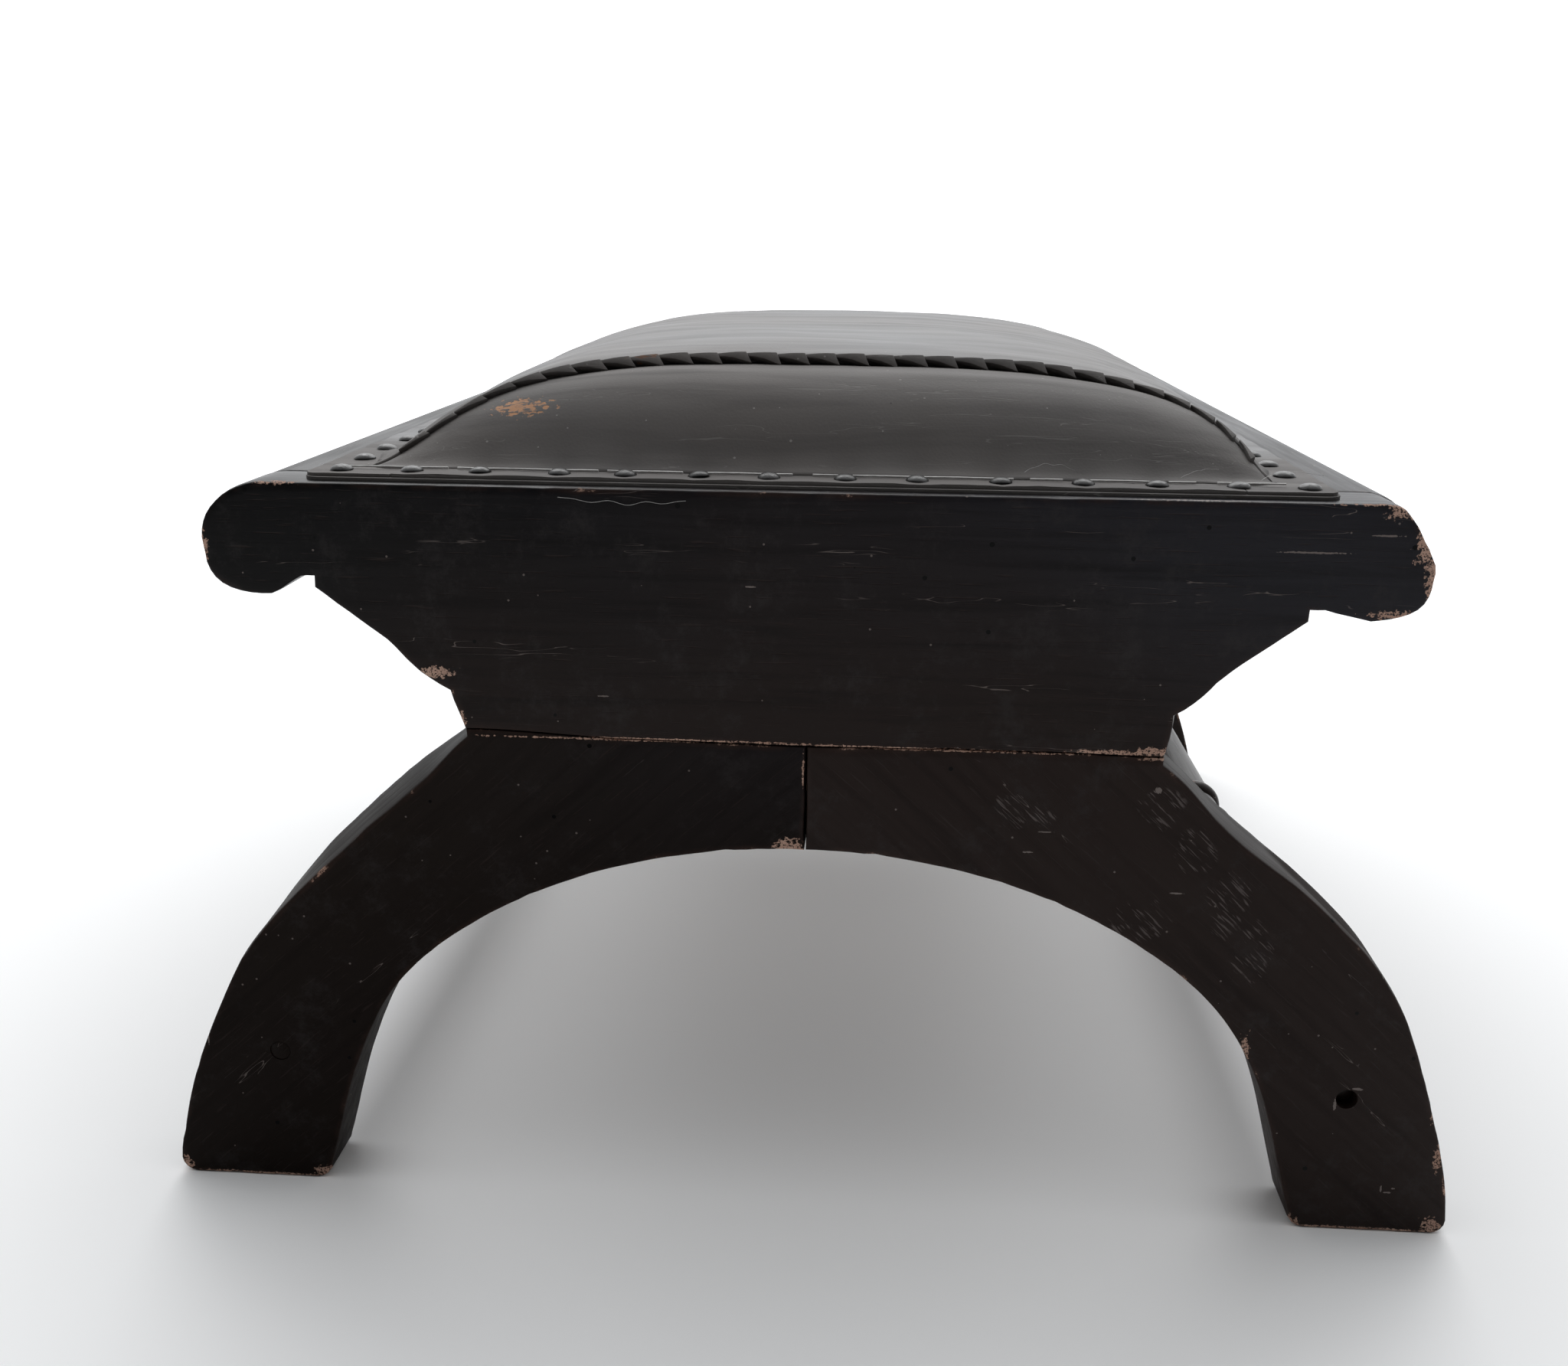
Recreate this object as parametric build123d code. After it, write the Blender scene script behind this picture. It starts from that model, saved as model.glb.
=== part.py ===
"""Camel saddle stool: two arched end frames, round-nosed seat rails and a nailed leather seat.

X runs across the stool, Y along it and Z up. The origin is on the floor, under the middle.
The end frames stand at the two ends of Y, and the front one is at the lower Y.
"""
import os
from math import acos
from math import asin
from math import atan2
from math import cos
from math import hypot
from math import radians
from math import sin

from build123d import *

os.makedirs("parts", exist_ok=True)

# Whole stool, millimetres
stool_length = 520
seat_top = 280
nose_span = 420
foot_spread = 494
frame_thickness = 26
arris = 0.6

# End boards: the round nose, the notch under it, and the throat above the legs
nose_radius = 20
notch_inset = 39
notch_rise = 4.5
notch_lip_run = 5
notch_step = 4
board_depth = 90
joint_width = 245
throat_flare = 2
throat_rise = 15

# Half legs: straight shoulder, round haunch, and a foot that stands upright
shoulder_drop = 3
haunch_radius_share = 0.945
foot_width = 59
foot_corner = 6
crown_depth = 38
arch_flatness_share = 1.1334
arch_foot_height = 34
arch_foot_taper = 6

# Seat rails, with tenons in the end boards and a rebate for the planks
rail_width = 60
rebate_width = 12
tenon_length = 14
tenon_height = 20
tenon_inset = 12
joint_clearance = 0.2

# Plank deck
plank_count = 5
plank_thickness = 14
plank_gap = 1.5
plank_end_gap = 0.5

# Turned side stretchers, round tenons and pegs
stretcher_diameter = 25.6
stretcher_end_diameter = 20
stretcher_height = 57
stretcher_inset = 43.5
stretcher_taper_length = 46
taper_swell_share = 0.72
bead_diameter = 31
bead_width = 9
bead_spacing = 34
fillet_width = 4
fillet_diameter = 23
round_tenon_diameter = 15
round_tenon_length = 15
peg_diameter = 8
peg_length = 34
sunk_peg_depth = 5

# Dowels in the joints of each end frame
dowel_diameter = 10
dowel_reach = 22
inner_dowel_span = 80
outer_dowel_inset = 27.5
seam_dowel_diameter = 8
seam_dowel_length = 44
seam_dowel_drop = 18

# Base leather and the flanges of the cover
base_thickness = 1.2
base_side_margin = 1
base_end_margin = 2
base_corner = 6
leather_thickness = 1.5
side_flange_reach = 17
flange_end_inset = 8
end_flange_setback = 14
flange_gap = 0.4
flange_corner = 4

# Domed seat: crease round its foot, laced seams near the ends, and a crown between
dome_side_inset = 50
dome_end_run = 16
crown_height = 43.5
seam_inset = 80
seam_height = 36.5
seam_bow_reach = 25
seam_foot_run = 6
dome_lip_height = 3.5
stuffing_clearance = 0.3
section_shoulder_share = 0.8
section_shoulder_height_share = 0.72
seam_bow_run_share = 0.75
seam_bow_rise_share = 0.62
end_bulge_shares = ((0, 0), (0.12, 0.42), (0.32, 0.69), (0.62, 0.89), (1, 1))
crown_shares = ((1, 0), (0.5, 0.75), (0, 1), (-0.5, 0.75), (-1, 0))

# Lacing over each seam
stitch_pitch = 11.4
stitch_gap = 0.5
stitch_width = 6
stitch_low = 1
stitch_high = 3.2
stitch_root = 2.5
lacing_end_gap = 14

# Upholstery nails
nail_diameter = 8
nail_height = 2.6
nail_end_run = 7
nail_side_reach = 7
end_nail_count = 14
side_nail_count = 18

half_length = stool_length / 2
frame_inner = half_length - frame_thickness
nose_center = nose_span / 2 - nose_radius
notch_x = nose_span / 2 - notch_inset
notch_height = seat_top - 2 * nose_radius + notch_rise
joint_height = seat_top - board_depth
arch_height = joint_height - crown_depth
rail_inner = nose_span / 2 - rail_width
stretcher_x = foot_spread / 2 - stretcher_inset
base_top = seat_top + base_thickness
dome_span = nose_span - 2 * dome_side_inset
dome_end_inset = flange_end_inset + dome_end_run
dome_half_length = half_length - dome_end_inset
seam_foot_inset = dome_end_inset + seam_foot_run
flange_x = dome_span / 2 + side_flange_reach
end_flange_x = dome_span / 2 - end_flange_setback
nail_x = dome_span / 2 + nail_side_reach
nail_end_inset = flange_end_inset + nail_end_run
overrun = 1


def save(shape, name):
    shape.label = name
    export_step(shape, "parts/" + name + ".step")


def slab(face, y_low, thickness):
    """Stand a face drawn in X and Z upright and give it a thickness along Y."""
    return Pos(0, y_low + thickness, 0) * extrude(Plane.XZ * face, thickness)


def mirrored_x(shape):
    return mirror(shape, Plane.YZ)


def turned_round(shape):
    """The same shape at the rear end."""
    return mirror(shape, Plane.XZ)


def break_arrises(piece):
    """Chamfer the outlines of the front and back faces of a front frame piece."""
    front_edges = piece.edges().filter_by_position(Axis.Y, -half_length, -half_length)
    back_edges = piece.edges().filter_by_position(Axis.Y, -frame_inner, -frame_inner)
    return chamfer(front_edges + back_edges, arris)


# End boards

def board_half_outline():
    """Right half of the end board, from the middle of its top round to the middle of its foot."""
    lip = (notch_x + notch_lip_run, notch_height)
    nose_low = (nose_center, seat_top - 2 * nose_radius)
    nose_tip = (nose_center + nose_radius, seat_top - nose_radius)
    throat = (joint_width / 2 + throat_flare, joint_height + throat_rise)
    return [
        Line((0, seat_top), (nose_center, seat_top)),
        ThreePointArc((nose_center, seat_top), nose_tip, nose_low),
        Line(nose_low, lip),
        Line(lip, (notch_x, notch_height)),
        Line((notch_x, notch_height), (notch_x, notch_height - notch_step)),
        Line((notch_x, notch_height - notch_step), throat),
        Line(throat, (joint_width / 2, joint_height)),
        Line((joint_width / 2, joint_height), (0, joint_height)),
        Line((0, joint_height), (0, seat_top)),
    ]


def tenon_box(clearance):
    """Tenon on the front end of the right rail, or its mortise when a clearance is given."""
    width = rail_width - rebate_width - nose_radius
    length = tenon_length + clearance
    box = Box(width + 2 * clearance, length + overrun, tenon_height + 2 * clearance)
    x = rail_inner + rebate_width + width / 2
    y = -frame_inner - length + (length + overrun) / 2
    z = seat_top - tenon_inset - tenon_height / 2
    return Pos(x, y, z) * box


def dowel(x, clearance):
    length = 2 * (dowel_reach + clearance)
    body = Cylinder(dowel_diameter / 2 + clearance, length)
    y = -half_length + frame_thickness / 2
    return Pos(x, y, joint_height) * body


def dowel_places():
    outer = joint_width / 2 - outer_dowel_inset
    inner = inner_dowel_span / 2
    return [-inner, inner, -outer, outer]


def seam_dowel(clearance):
    length = seam_dowel_length + 2 * clearance
    body = Rot(0, 90, 0) * Cylinder(seam_dowel_diameter / 2 + clearance, length)
    return Pos(0, -half_length + frame_thickness / 2, joint_height - seam_dowel_drop) * body


def end_board():
    half = slab(make_face(board_half_outline()), -half_length, frame_thickness)
    board = break_arrises(half + mirrored_x(half))
    mortise = tenon_box(joint_clearance)
    board = board - mortise - mirrored_x(mortise)
    for x in dowel_places():
        board = board - dowel(x, joint_clearance)
    return board


# Half legs

def shoulder_tangent(top):
    """Where a straight shoulder from its top meets the round haunch, which ends upright at the toe."""
    radius = (top[1] - foot_corner) * haunch_radius_share
    center = (foot_spread / 2 - radius, foot_corner)
    run = top[0] - center[0]
    rise = top[1] - center[1]
    angle = atan2(rise, run) - acos(radius / hypot(run, rise))
    return (center[0] + radius * cos(angle), center[1] + radius * sin(angle))


def arch_arcs(arch_foot, heel):
    """Inside of the arch: a flat crown arc, then a tighter one that runs into the straight foot."""
    drop = arch_height - arch_foot[1]
    crown_radius = (arch_foot[0] ** 2 + drop ** 2) / (2 * drop) * arch_flatness_share
    crown_center = arch_height - crown_radius
    foot_length = hypot(heel[0] - arch_foot[0], heel[1] - arch_foot[1])
    inward_x = (heel[1] - arch_foot[1]) / foot_length
    inward_z = (arch_foot[0] - heel[0]) / foot_length
    rise = arch_foot[1] - crown_center
    reach = crown_radius ** 2 - arch_foot[0] ** 2 - rise ** 2
    foot_radius = reach / (2 * (arch_foot[0] * inward_x + rise * inward_z + crown_radius))
    turn_x = arch_foot[0] + foot_radius * inward_x
    turn_z = arch_foot[1] + foot_radius * inward_z
    haunch_angle = atan2(turn_x, turn_z - crown_center)
    haunch = (crown_radius * sin(haunch_angle), crown_center + crown_radius * cos(haunch_angle))
    half_angle = haunch_angle / 2
    crown_mid = (crown_radius * sin(half_angle), crown_center + crown_radius * cos(half_angle))
    crown_arc = ThreePointArc((0, arch_height), crown_mid, haunch)
    return crown_arc, TangentArc(haunch, arch_foot, tangent=crown_arc % 1)


def leg_outline():
    """Right half leg in X and Z: shoulder, haunch, foot and the inside of the arch."""
    joint_edge = (joint_width / 2, joint_height)
    shoulder_top = (joint_width / 2, joint_height - shoulder_drop)
    shoulder_end = shoulder_tangent(shoulder_top)
    toe = (foot_spread / 2, foot_corner)
    toe_floor = (foot_spread / 2 - foot_corner, 0)
    corner_reach = foot_corner * sin(radians(45))
    toe_mid = (foot_spread / 2 - foot_corner + corner_reach, foot_corner - corner_reach)
    heel_x = foot_spread / 2 - foot_width
    heel_floor = (heel_x + foot_corner, 0)
    heel_mid = (heel_x + foot_corner - corner_reach, foot_corner - corner_reach)
    heel = (heel_x, foot_corner)
    arch_foot = (heel_x - arch_foot_taper, arch_foot_height)
    shoulder = Line(shoulder_top, shoulder_end)
    crown_arc, foot_arc = arch_arcs(arch_foot, heel)
    return [
        Line((0, joint_height), joint_edge),
        Line(joint_edge, shoulder_top),
        shoulder,
        TangentArc(shoulder_end, toe, tangent=shoulder % 1),
        ThreePointArc(toe, toe_mid, toe_floor),
        Line(toe_floor, heel_floor),
        ThreePointArc(heel_floor, heel_mid, heel),
        Line(heel, arch_foot),
        foot_arc,
        crown_arc,
        Line((0, arch_height), (0, joint_height)),
    ]


def stretcher_bore(clearance):
    """Blind bore for the round tenon, with the peg hole through the rest of the leg."""
    depth = round_tenon_length + clearance
    y = -frame_inner - depth / 2 + overrun / 2
    bore = Rot(90, 0, 0) * Cylinder(round_tenon_diameter / 2 + clearance, depth + overrun)
    hole = Rot(90, 0, 0) * Cylinder(peg_diameter / 2, frame_thickness + 2 * overrun)
    hole_y = -half_length + frame_thickness / 2
    place = Pos(stretcher_x, 0, stretcher_height)
    return place * (Pos(0, y, 0) * bore + Pos(0, hole_y, 0) * hole)


def half_leg():
    leg = break_arrises(slab(make_face(leg_outline()), -half_length, frame_thickness))
    leg = leg - stretcher_bore(joint_clearance) - seam_dowel(joint_clearance)
    for x in dowel_places():
        if x > 0:
            leg = leg - dowel(x, joint_clearance)
    return leg


# Seat rails and planks

def rail_outline():
    """Section of the right rail: the nose and notch of the end board, with a rebate inside."""
    nose_low = (nose_center, seat_top - 2 * nose_radius)
    nose_tip = (nose_center + nose_radius, seat_top - nose_radius)
    lip = (notch_x + notch_lip_run, notch_height)
    ledge_x = rail_inner + rebate_width
    ledge_z = seat_top - plank_thickness
    return [
        Line((ledge_x, seat_top), (nose_center, seat_top)),
        ThreePointArc((nose_center, seat_top), nose_tip, nose_low),
        Line(nose_low, lip),
        Line(lip, (rail_inner, notch_height)),
        Line((rail_inner, notch_height), (rail_inner, ledge_z)),
        Line((rail_inner, ledge_z), (ledge_x, ledge_z)),
        Line((ledge_x, ledge_z), (ledge_x, seat_top)),
    ]


def seat_rail():
    rail = slab(make_face(rail_outline()), -frame_inner, 2 * frame_inner)
    tenon = tenon_box(0)
    return rail + tenon + turned_round(tenon)


def plank(index):
    room = 2 * frame_inner - 2 * plank_end_gap
    width = (room - (plank_count - 1) * plank_gap) / plank_count
    length = 2 * (rail_inner + rebate_width - plank_end_gap)
    y = -room / 2 + width / 2 + index * (width + plank_gap)
    return Pos(0, y, seat_top - plank_thickness / 2) * Box(length, width, plank_thickness)


# Turned stretchers, pegs and dowels

def bead_lines(middle):
    """Outline of one bead between its two fillets, out from the axis."""
    body_r = stretcher_diameter / 2
    fillet_r = fillet_diameter / 2
    bead_low = middle - bead_width / 2
    bead_high = middle + bead_width / 2
    cove_low = bead_low - fillet_width
    cove_high = bead_high + fillet_width
    return [
        Line((body_r, cove_low), (fillet_r, cove_low)),
        Line((fillet_r, cove_low), (fillet_r, bead_low)),
        ThreePointArc((fillet_r, bead_low), (bead_diameter / 2, middle), (fillet_r, bead_high)),
        Line((fillet_r, bead_high), (fillet_r, cove_high)),
        Line((fillet_r, cove_high), (body_r, cove_high)),
    ]


def stretcher():
    """Turned bar: tenon, taper, three beads between fillets, and the same back again."""
    body_r = stretcher_diameter / 2
    end_r = stretcher_end_diameter / 2
    tenon_r = round_tenon_diameter / 2
    tip = frame_inner + round_tenon_length
    taper_end = frame_inner - stretcher_taper_length
    lines = [
        Line((0, -tip), (tenon_r, -tip)),
        Line((tenon_r, -tip), (tenon_r, -frame_inner)),
        Line((tenon_r, -frame_inner), (end_r, -frame_inner)),
    ]
    taper_mid = (end_r + (body_r - end_r) * taper_swell_share, -(frame_inner + taper_end) / 2)
    taper = ThreePointArc((end_r, -frame_inner), taper_mid, (body_r, -taper_end))
    lines.append(taper)
    here = (body_r, -taper_end)
    for middle in (-bead_spacing, 0, bead_spacing):
        bead = bead_lines(middle)
        lines.append(Line(here, bead[0] @ 0))
        lines.extend(bead)
        here = bead[-1] @ 1
    lines.append(Line(here, (body_r, taper_end)))
    lines.append(mirror(taper, Plane.XZ))
    lines.append(Line((end_r, frame_inner), (tenon_r, frame_inner)))
    lines.append(Line((tenon_r, frame_inner), (tenon_r, tip)))
    lines.append(Line((tenon_r, tip), (0, tip)))
    lines.append(Line((0, tip), (0, -tip)))
    bar = revolve(make_face(lines), Axis.Y)
    peg_reach = peg_length - frame_thickness + round_tenon_length
    hole = Rot(90, 0, 0) * Cylinder(peg_diameter / 2, peg_reach + joint_clearance)
    hole_y = tip - (peg_reach + joint_clearance) / 2
    bar = bar - Pos(0, -hole_y, 0) * hole - Pos(0, hole_y, 0) * hole
    return Pos(stretcher_x, 0, stretcher_height) * bar


def peg(sunk):
    body = Rot(90, 0, 0) * Cylinder(peg_diameter / 2, peg_length - sunk)
    y = -half_length + sunk + (peg_length - sunk) / 2
    return Pos(stretcher_x, y, stretcher_height) * body


def frame_dowels():
    pins = [dowel(x, 0) for x in dowel_places()]
    pins.append(seam_dowel(0))
    return Compound(children=pins)


# Leather and stuffing

def dome_section(y, half_width, height, foot):
    """Upright section of the seat: a short foot, round flanks and a flatter crown."""
    shoulder = (half_width * section_shoulder_share, foot + (height - foot) * section_shoulder_height_share)
    left_shoulder = (-shoulder[0], shoulder[1])
    crown = ThreePointArc(left_shoulder, (0, height), shoulder)
    outline = [
        Line((-half_width, 0), (half_width, 0)),
        Line((half_width, 0), (half_width, foot)),
        TangentArc(shoulder, (half_width, foot), tangent=crown % 1),
        crown,
        TangentArc(left_shoulder, (-half_width, foot), tangent=-(crown % 0)),
        Line((-half_width, foot), (-half_width, 0)),
    ]
    return Plane(origin=(0, y, base_top), x_dir=(1, 0, 0), z_dir=(0, -1, 0)) * make_face(outline)


def end_bulge(inset):
    """Front end of the seat, swelling from the crease up to the line of the seam."""
    front_y = -dome_half_length + inset
    seam_y = -half_length + seam_inset
    half_width = dome_span / 2 - inset
    sections = []
    for run_share, rise_share in end_bulge_shares:
        y = front_y + (seam_y - front_y) * run_share
        height = dome_lip_height + (seam_height - dome_lip_height) * rise_share
        sections.append(dome_section(y, half_width, height - inset, foot_height(inset)))
    return loft(sections)


def crown_bulge(inset):
    """Long middle of the seat between the two seams, highest half way."""
    seam_y = -half_length + seam_inset
    half_width = dome_span / 2 - inset
    sections = []
    for run_share, rise_share in crown_shares:
        height = seam_height + (crown_height - seam_height) * rise_share
        sections.append(dome_section(seam_y * run_share, half_width, height - inset, foot_height(inset)))
    return loft(sections)


def foot_height(inset):
    return leather_thickness if inset == 0 else leather_thickness / 2


def dome(inset):
    """The whole domed seat, or its inside when an inset is given."""
    front = end_bulge(inset)
    return crown_bulge(inset) + front + turned_round(front)


def seam_point(x_side):
    return (x_side * (dome_span / 2 - seam_bow_reach), -half_length + seam_inset)


def seam_lines():
    """Plan of the front seam: straight across, then bowed down to the corners of the crease."""
    foot_y = -half_length + seam_foot_inset
    straight_y = -half_length + seam_inset
    bow_x = dome_span / 2 - seam_bow_reach * (1 - seam_bow_run_share)
    bow_y = foot_y + (straight_y - foot_y) * seam_bow_rise_share
    right = ThreePointArc(seam_point(1), (bow_x, bow_y), (dome_span / 2, foot_y))
    left = ThreePointArc((-dome_span / 2, foot_y), (-bow_x, bow_y), seam_point(-1))
    return [left, Line(seam_point(-1), seam_point(1)), right]


def end_zone():
    """Upright block over the front end of the seat, as far as the seam."""
    foot_y = -half_length + seam_foot_inset
    front_y = -half_length
    rim_x = dome_span / 2
    lines = seam_lines() + [
        Line((rim_x, foot_y), (rim_x, front_y)),
        Line((rim_x, front_y), (-rim_x, front_y)),
        Line((-rim_x, front_y), (-rim_x, foot_y)),
    ]
    face = Pos(0, 0, base_top - overrun) * make_face(lines)
    return extrude(face, crown_height + 2 * overrun)


def end_flange():
    depth = dome_end_inset - flange_end_inset
    plate = Box(2 * end_flange_x, depth, leather_thickness)
    corners = plate.edges().filter_by(Axis.Z).group_by(Axis.Y)[0]
    plate = fillet(corners, flange_corner)
    y = -half_length + flange_end_inset + depth / 2
    return Pos(0, y, base_top + leather_thickness / 2) * plate


def side_flange():
    """Right flange of the long panel, which turns in at both ends to meet the end flanges."""
    length = stool_length - 2 * flange_end_inset
    width = flange_x - end_flange_x - flange_gap
    outer = RectangleRounded(width, length, flange_corner)
    x = flange_x - width / 2
    plate = extrude(Pos(x, 0, base_top) * outer, leather_thickness)
    dome_foot = Box(dome_span, 2 * dome_half_length, crown_height)
    return plate - Pos(0, 0, base_top + crown_height / 2) * dome_foot


def base_leather():
    width = 2 * (flange_x + base_side_margin)
    length = stool_length - 2 * (flange_end_inset + base_end_margin)
    plan = RectangleRounded(width, length, base_corner)
    return extrude(Pos(0, 0, seat_top) * plan, base_thickness)


# Lacing and nails

def stitch(place, tangent, normal):
    """One tuck of the lace: a wedge that climbs along the seam and steps down at its end."""
    half = (stitch_pitch - stitch_gap) / 2
    side = Polyline(
        (-half, -stitch_root),
        (half, -stitch_root),
        (half, stitch_high),
        (-half, stitch_low),
        close=True,
    )
    across = normal.cross(tangent)
    plane = Plane(origin=place, x_dir=tangent, z_dir=-across)
    wedge = extrude(make_face(side), stitch_width / 2, both=True)
    return plane * wedge


def lacing(outer):
    """Stitches at an even pitch along the front seam, seated on the leather and clear of the flange."""
    seam = Wire(seam_lines())
    count = int((seam.length - 2 * lacing_end_gap) / stitch_pitch)
    start = (seam.length - count * stitch_pitch) / 2
    flange_top = base_top + leather_thickness
    below = Pos(0, 0, flange_top - crown_height / 2) * Box(stool_length, stool_length, crown_height)
    stitches = []
    for index in range(count):
        share = (start + (index + 0.5) * stitch_pitch) / seam.length
        point = seam @ share
        along = seam % share
        column = Axis((point.X, point.Y, 0), (0, 0, 1))
        hits = outer.find_intersection_points(column)
        top, normal = max(hits, key=lambda hit: hit[0].Z)
        if normal.Z < 0:
            normal = -normal
        tangent = (along - normal * along.dot(normal)).normalized()
        stitches.append(stitch(top, tangent, normal) - outer - below)
    return Compound(children=stitches)


def nail():
    """Domed head, flat underneath, turned about its upright axis."""
    half = nail_diameter / 2
    ball_radius = (half * half + nail_height * nail_height) / (2 * nail_height)
    half_angle = asin(half / ball_radius) / 2
    shoulder = (ball_radius * sin(half_angle), nail_height - ball_radius * (1 - cos(half_angle)))
    outline = [
        Line((0, 0), (half, 0)),
        ThreePointArc((half, 0), shoulder, (0, nail_height)),
        Line((0, nail_height), (0, 0)),
    ]
    return Rot(90, 0, 0) * revolve(make_face(outline), Axis.Y)


def nail_row(places):
    head = nail()
    z = base_top + leather_thickness
    return Compound(children=[Pos(x, y, z) * head for x, y in places])


def end_nail_places():
    step = 2 * nail_x / (end_nail_count - 1)
    y = -half_length + nail_end_inset
    return [(-nail_x + step * index, y) for index in range(end_nail_count)]


def side_nail_places():
    run = stool_length - 2 * nail_end_inset
    step = run / (side_nail_count + 1)
    return [(nail_x, -run / 2 + step * (index + 1)) for index in range(side_nail_count)]


board = end_board()
save(board, "front_end_board")
save(turned_round(board), "rear_end_board")

leg = half_leg()
save(leg, "front_right_leg")
save(mirrored_x(leg), "front_left_leg")
save(turned_round(leg), "rear_right_leg")
save(turned_round(mirrored_x(leg)), "rear_left_leg")

rail = seat_rail()
save(rail, "right_seat_rail")
save(mirrored_x(rail), "left_seat_rail")

for number in range(plank_count):
    save(plank(number), "seat_plank_" + str(number + 1))

bar = stretcher()
save(bar, "right_stretcher")
save(mirrored_x(bar), "left_stretcher")
save(peg(sunk_peg_depth), "front_right_peg")
save(mirrored_x(peg(0)), "front_left_peg")
save(turned_round(peg(0)), "rear_right_peg")
save(turned_round(mirrored_x(peg(0))), "rear_left_peg")

dowels = frame_dowels()
save(dowels, "front_frame_dowels")
save(turned_round(dowels), "rear_frame_dowels")

save(base_leather(), "base_leather")
outer_dome = dome(0)
inner_dome = dome(leather_thickness)
save(dome(leather_thickness + stuffing_clearance), "seat_stuffing")

front_zone = end_zone()
rear_zone = turned_round(front_zone)
shell = outer_dome - inner_dome
front_panel = (shell & front_zone) + end_flange()
save(front_panel, "front_leather_panel")
save(turned_round(front_panel), "rear_leather_panel")

right_flange = side_flange()
long_panel = shell - front_zone - rear_zone + right_flange + mirrored_x(right_flange)
save(long_panel, "long_leather_panel")

front_lacing = lacing(outer_dome)
save(front_lacing, "front_lacing")
save(turned_round(front_lacing), "rear_lacing")

front_nails = nail_row(end_nail_places())
save(front_nails, "front_nails")
save(turned_round(front_nails), "rear_nails")
right_nails = nail_row(side_nail_places())
save(right_nails, "right_nails")
save(mirrored_x(right_nails), "left_nails")
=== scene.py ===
# %% [markdown]
# # A camel saddle stool
# The real stool is a low seat from South Asia or the Middle East. Two arched end frames of black
# wood carry round-nosed side rails, and a domed leather cushion is nailed on top.
# The measured model is loaded first and stays as it is, and every piece made here is laid on it.

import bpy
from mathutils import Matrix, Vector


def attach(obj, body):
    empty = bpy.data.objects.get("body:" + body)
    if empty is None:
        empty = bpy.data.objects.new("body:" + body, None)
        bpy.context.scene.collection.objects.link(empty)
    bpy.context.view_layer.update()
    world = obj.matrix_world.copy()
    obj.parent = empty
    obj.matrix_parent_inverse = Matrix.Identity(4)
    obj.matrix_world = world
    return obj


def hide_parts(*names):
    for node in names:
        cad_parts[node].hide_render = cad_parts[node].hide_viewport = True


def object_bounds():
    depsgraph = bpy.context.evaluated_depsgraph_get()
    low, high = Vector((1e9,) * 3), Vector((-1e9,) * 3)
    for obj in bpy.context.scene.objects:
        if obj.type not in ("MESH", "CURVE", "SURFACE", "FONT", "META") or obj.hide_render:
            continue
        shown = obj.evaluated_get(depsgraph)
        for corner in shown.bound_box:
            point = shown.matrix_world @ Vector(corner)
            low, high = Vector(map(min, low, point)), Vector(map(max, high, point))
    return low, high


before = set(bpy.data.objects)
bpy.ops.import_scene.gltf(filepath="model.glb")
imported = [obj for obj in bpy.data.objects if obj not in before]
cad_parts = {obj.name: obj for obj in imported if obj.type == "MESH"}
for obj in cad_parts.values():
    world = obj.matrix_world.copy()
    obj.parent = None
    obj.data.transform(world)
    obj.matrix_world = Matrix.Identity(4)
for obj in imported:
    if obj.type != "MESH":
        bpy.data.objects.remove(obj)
cad_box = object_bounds()
print("measured model:", len(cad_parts), "nodes, box",
      [tuple(round(v, 4) for v in c) for c in cad_box])

# %% [markdown]
# ## Units and the camera
# All sizes below are written in millimetres and multiplied by mm, because Blender works in metres.
# The camera stands near the middle of the front end, at the eye of somebody kneeling, and looks
# down a little. It was worked out from the round noses, the joint line and the feet.

# %% Units and camera
import math

import bmesh
import bpy
from bmesh.types import BMEdge, BMFace, BMVert
from mathutils import Matrix, Vector, kdtree, noise

mm = 0.001
scene = bpy.context.scene


def add_object(name, data):
    made = bpy.data.objects.new(name, data)
    scene.collection.objects.link(made)
    return made


camera_place = Vector((24.1, -749.4, 362.5)) * mm
camera_right = Vector((0.99761, 0.06842, 0.00918))
camera_up = Vector((-0.02874, 0.29066, 0.95640))
camera_data = bpy.data.cameras.new("camera")
camera_data.lens, camera_data.sensor_width, camera_data.sensor_fit = 33.592, 36, "HORIZONTAL"
camera = add_object("camera", camera_data)
turn = Matrix((camera_right, camera_up, camera_right.cross(camera_up))).transposed()
camera.matrix_world = Matrix.Translation(camera_place) @ turn.to_4x4()
scene.camera = camera
scene.view_settings.view_transform = "Standard"
print("camera at", [round(v, 3) for v in camera.location])

# %% [markdown]
# ## Sums in a material
# A material is a net of nodes. A line of plain links for each node would be long and hard to read,
# so the output of a node is wrapped here: it adds and multiplies like a number, and each sum places
# the Math node that works it out.

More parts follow.
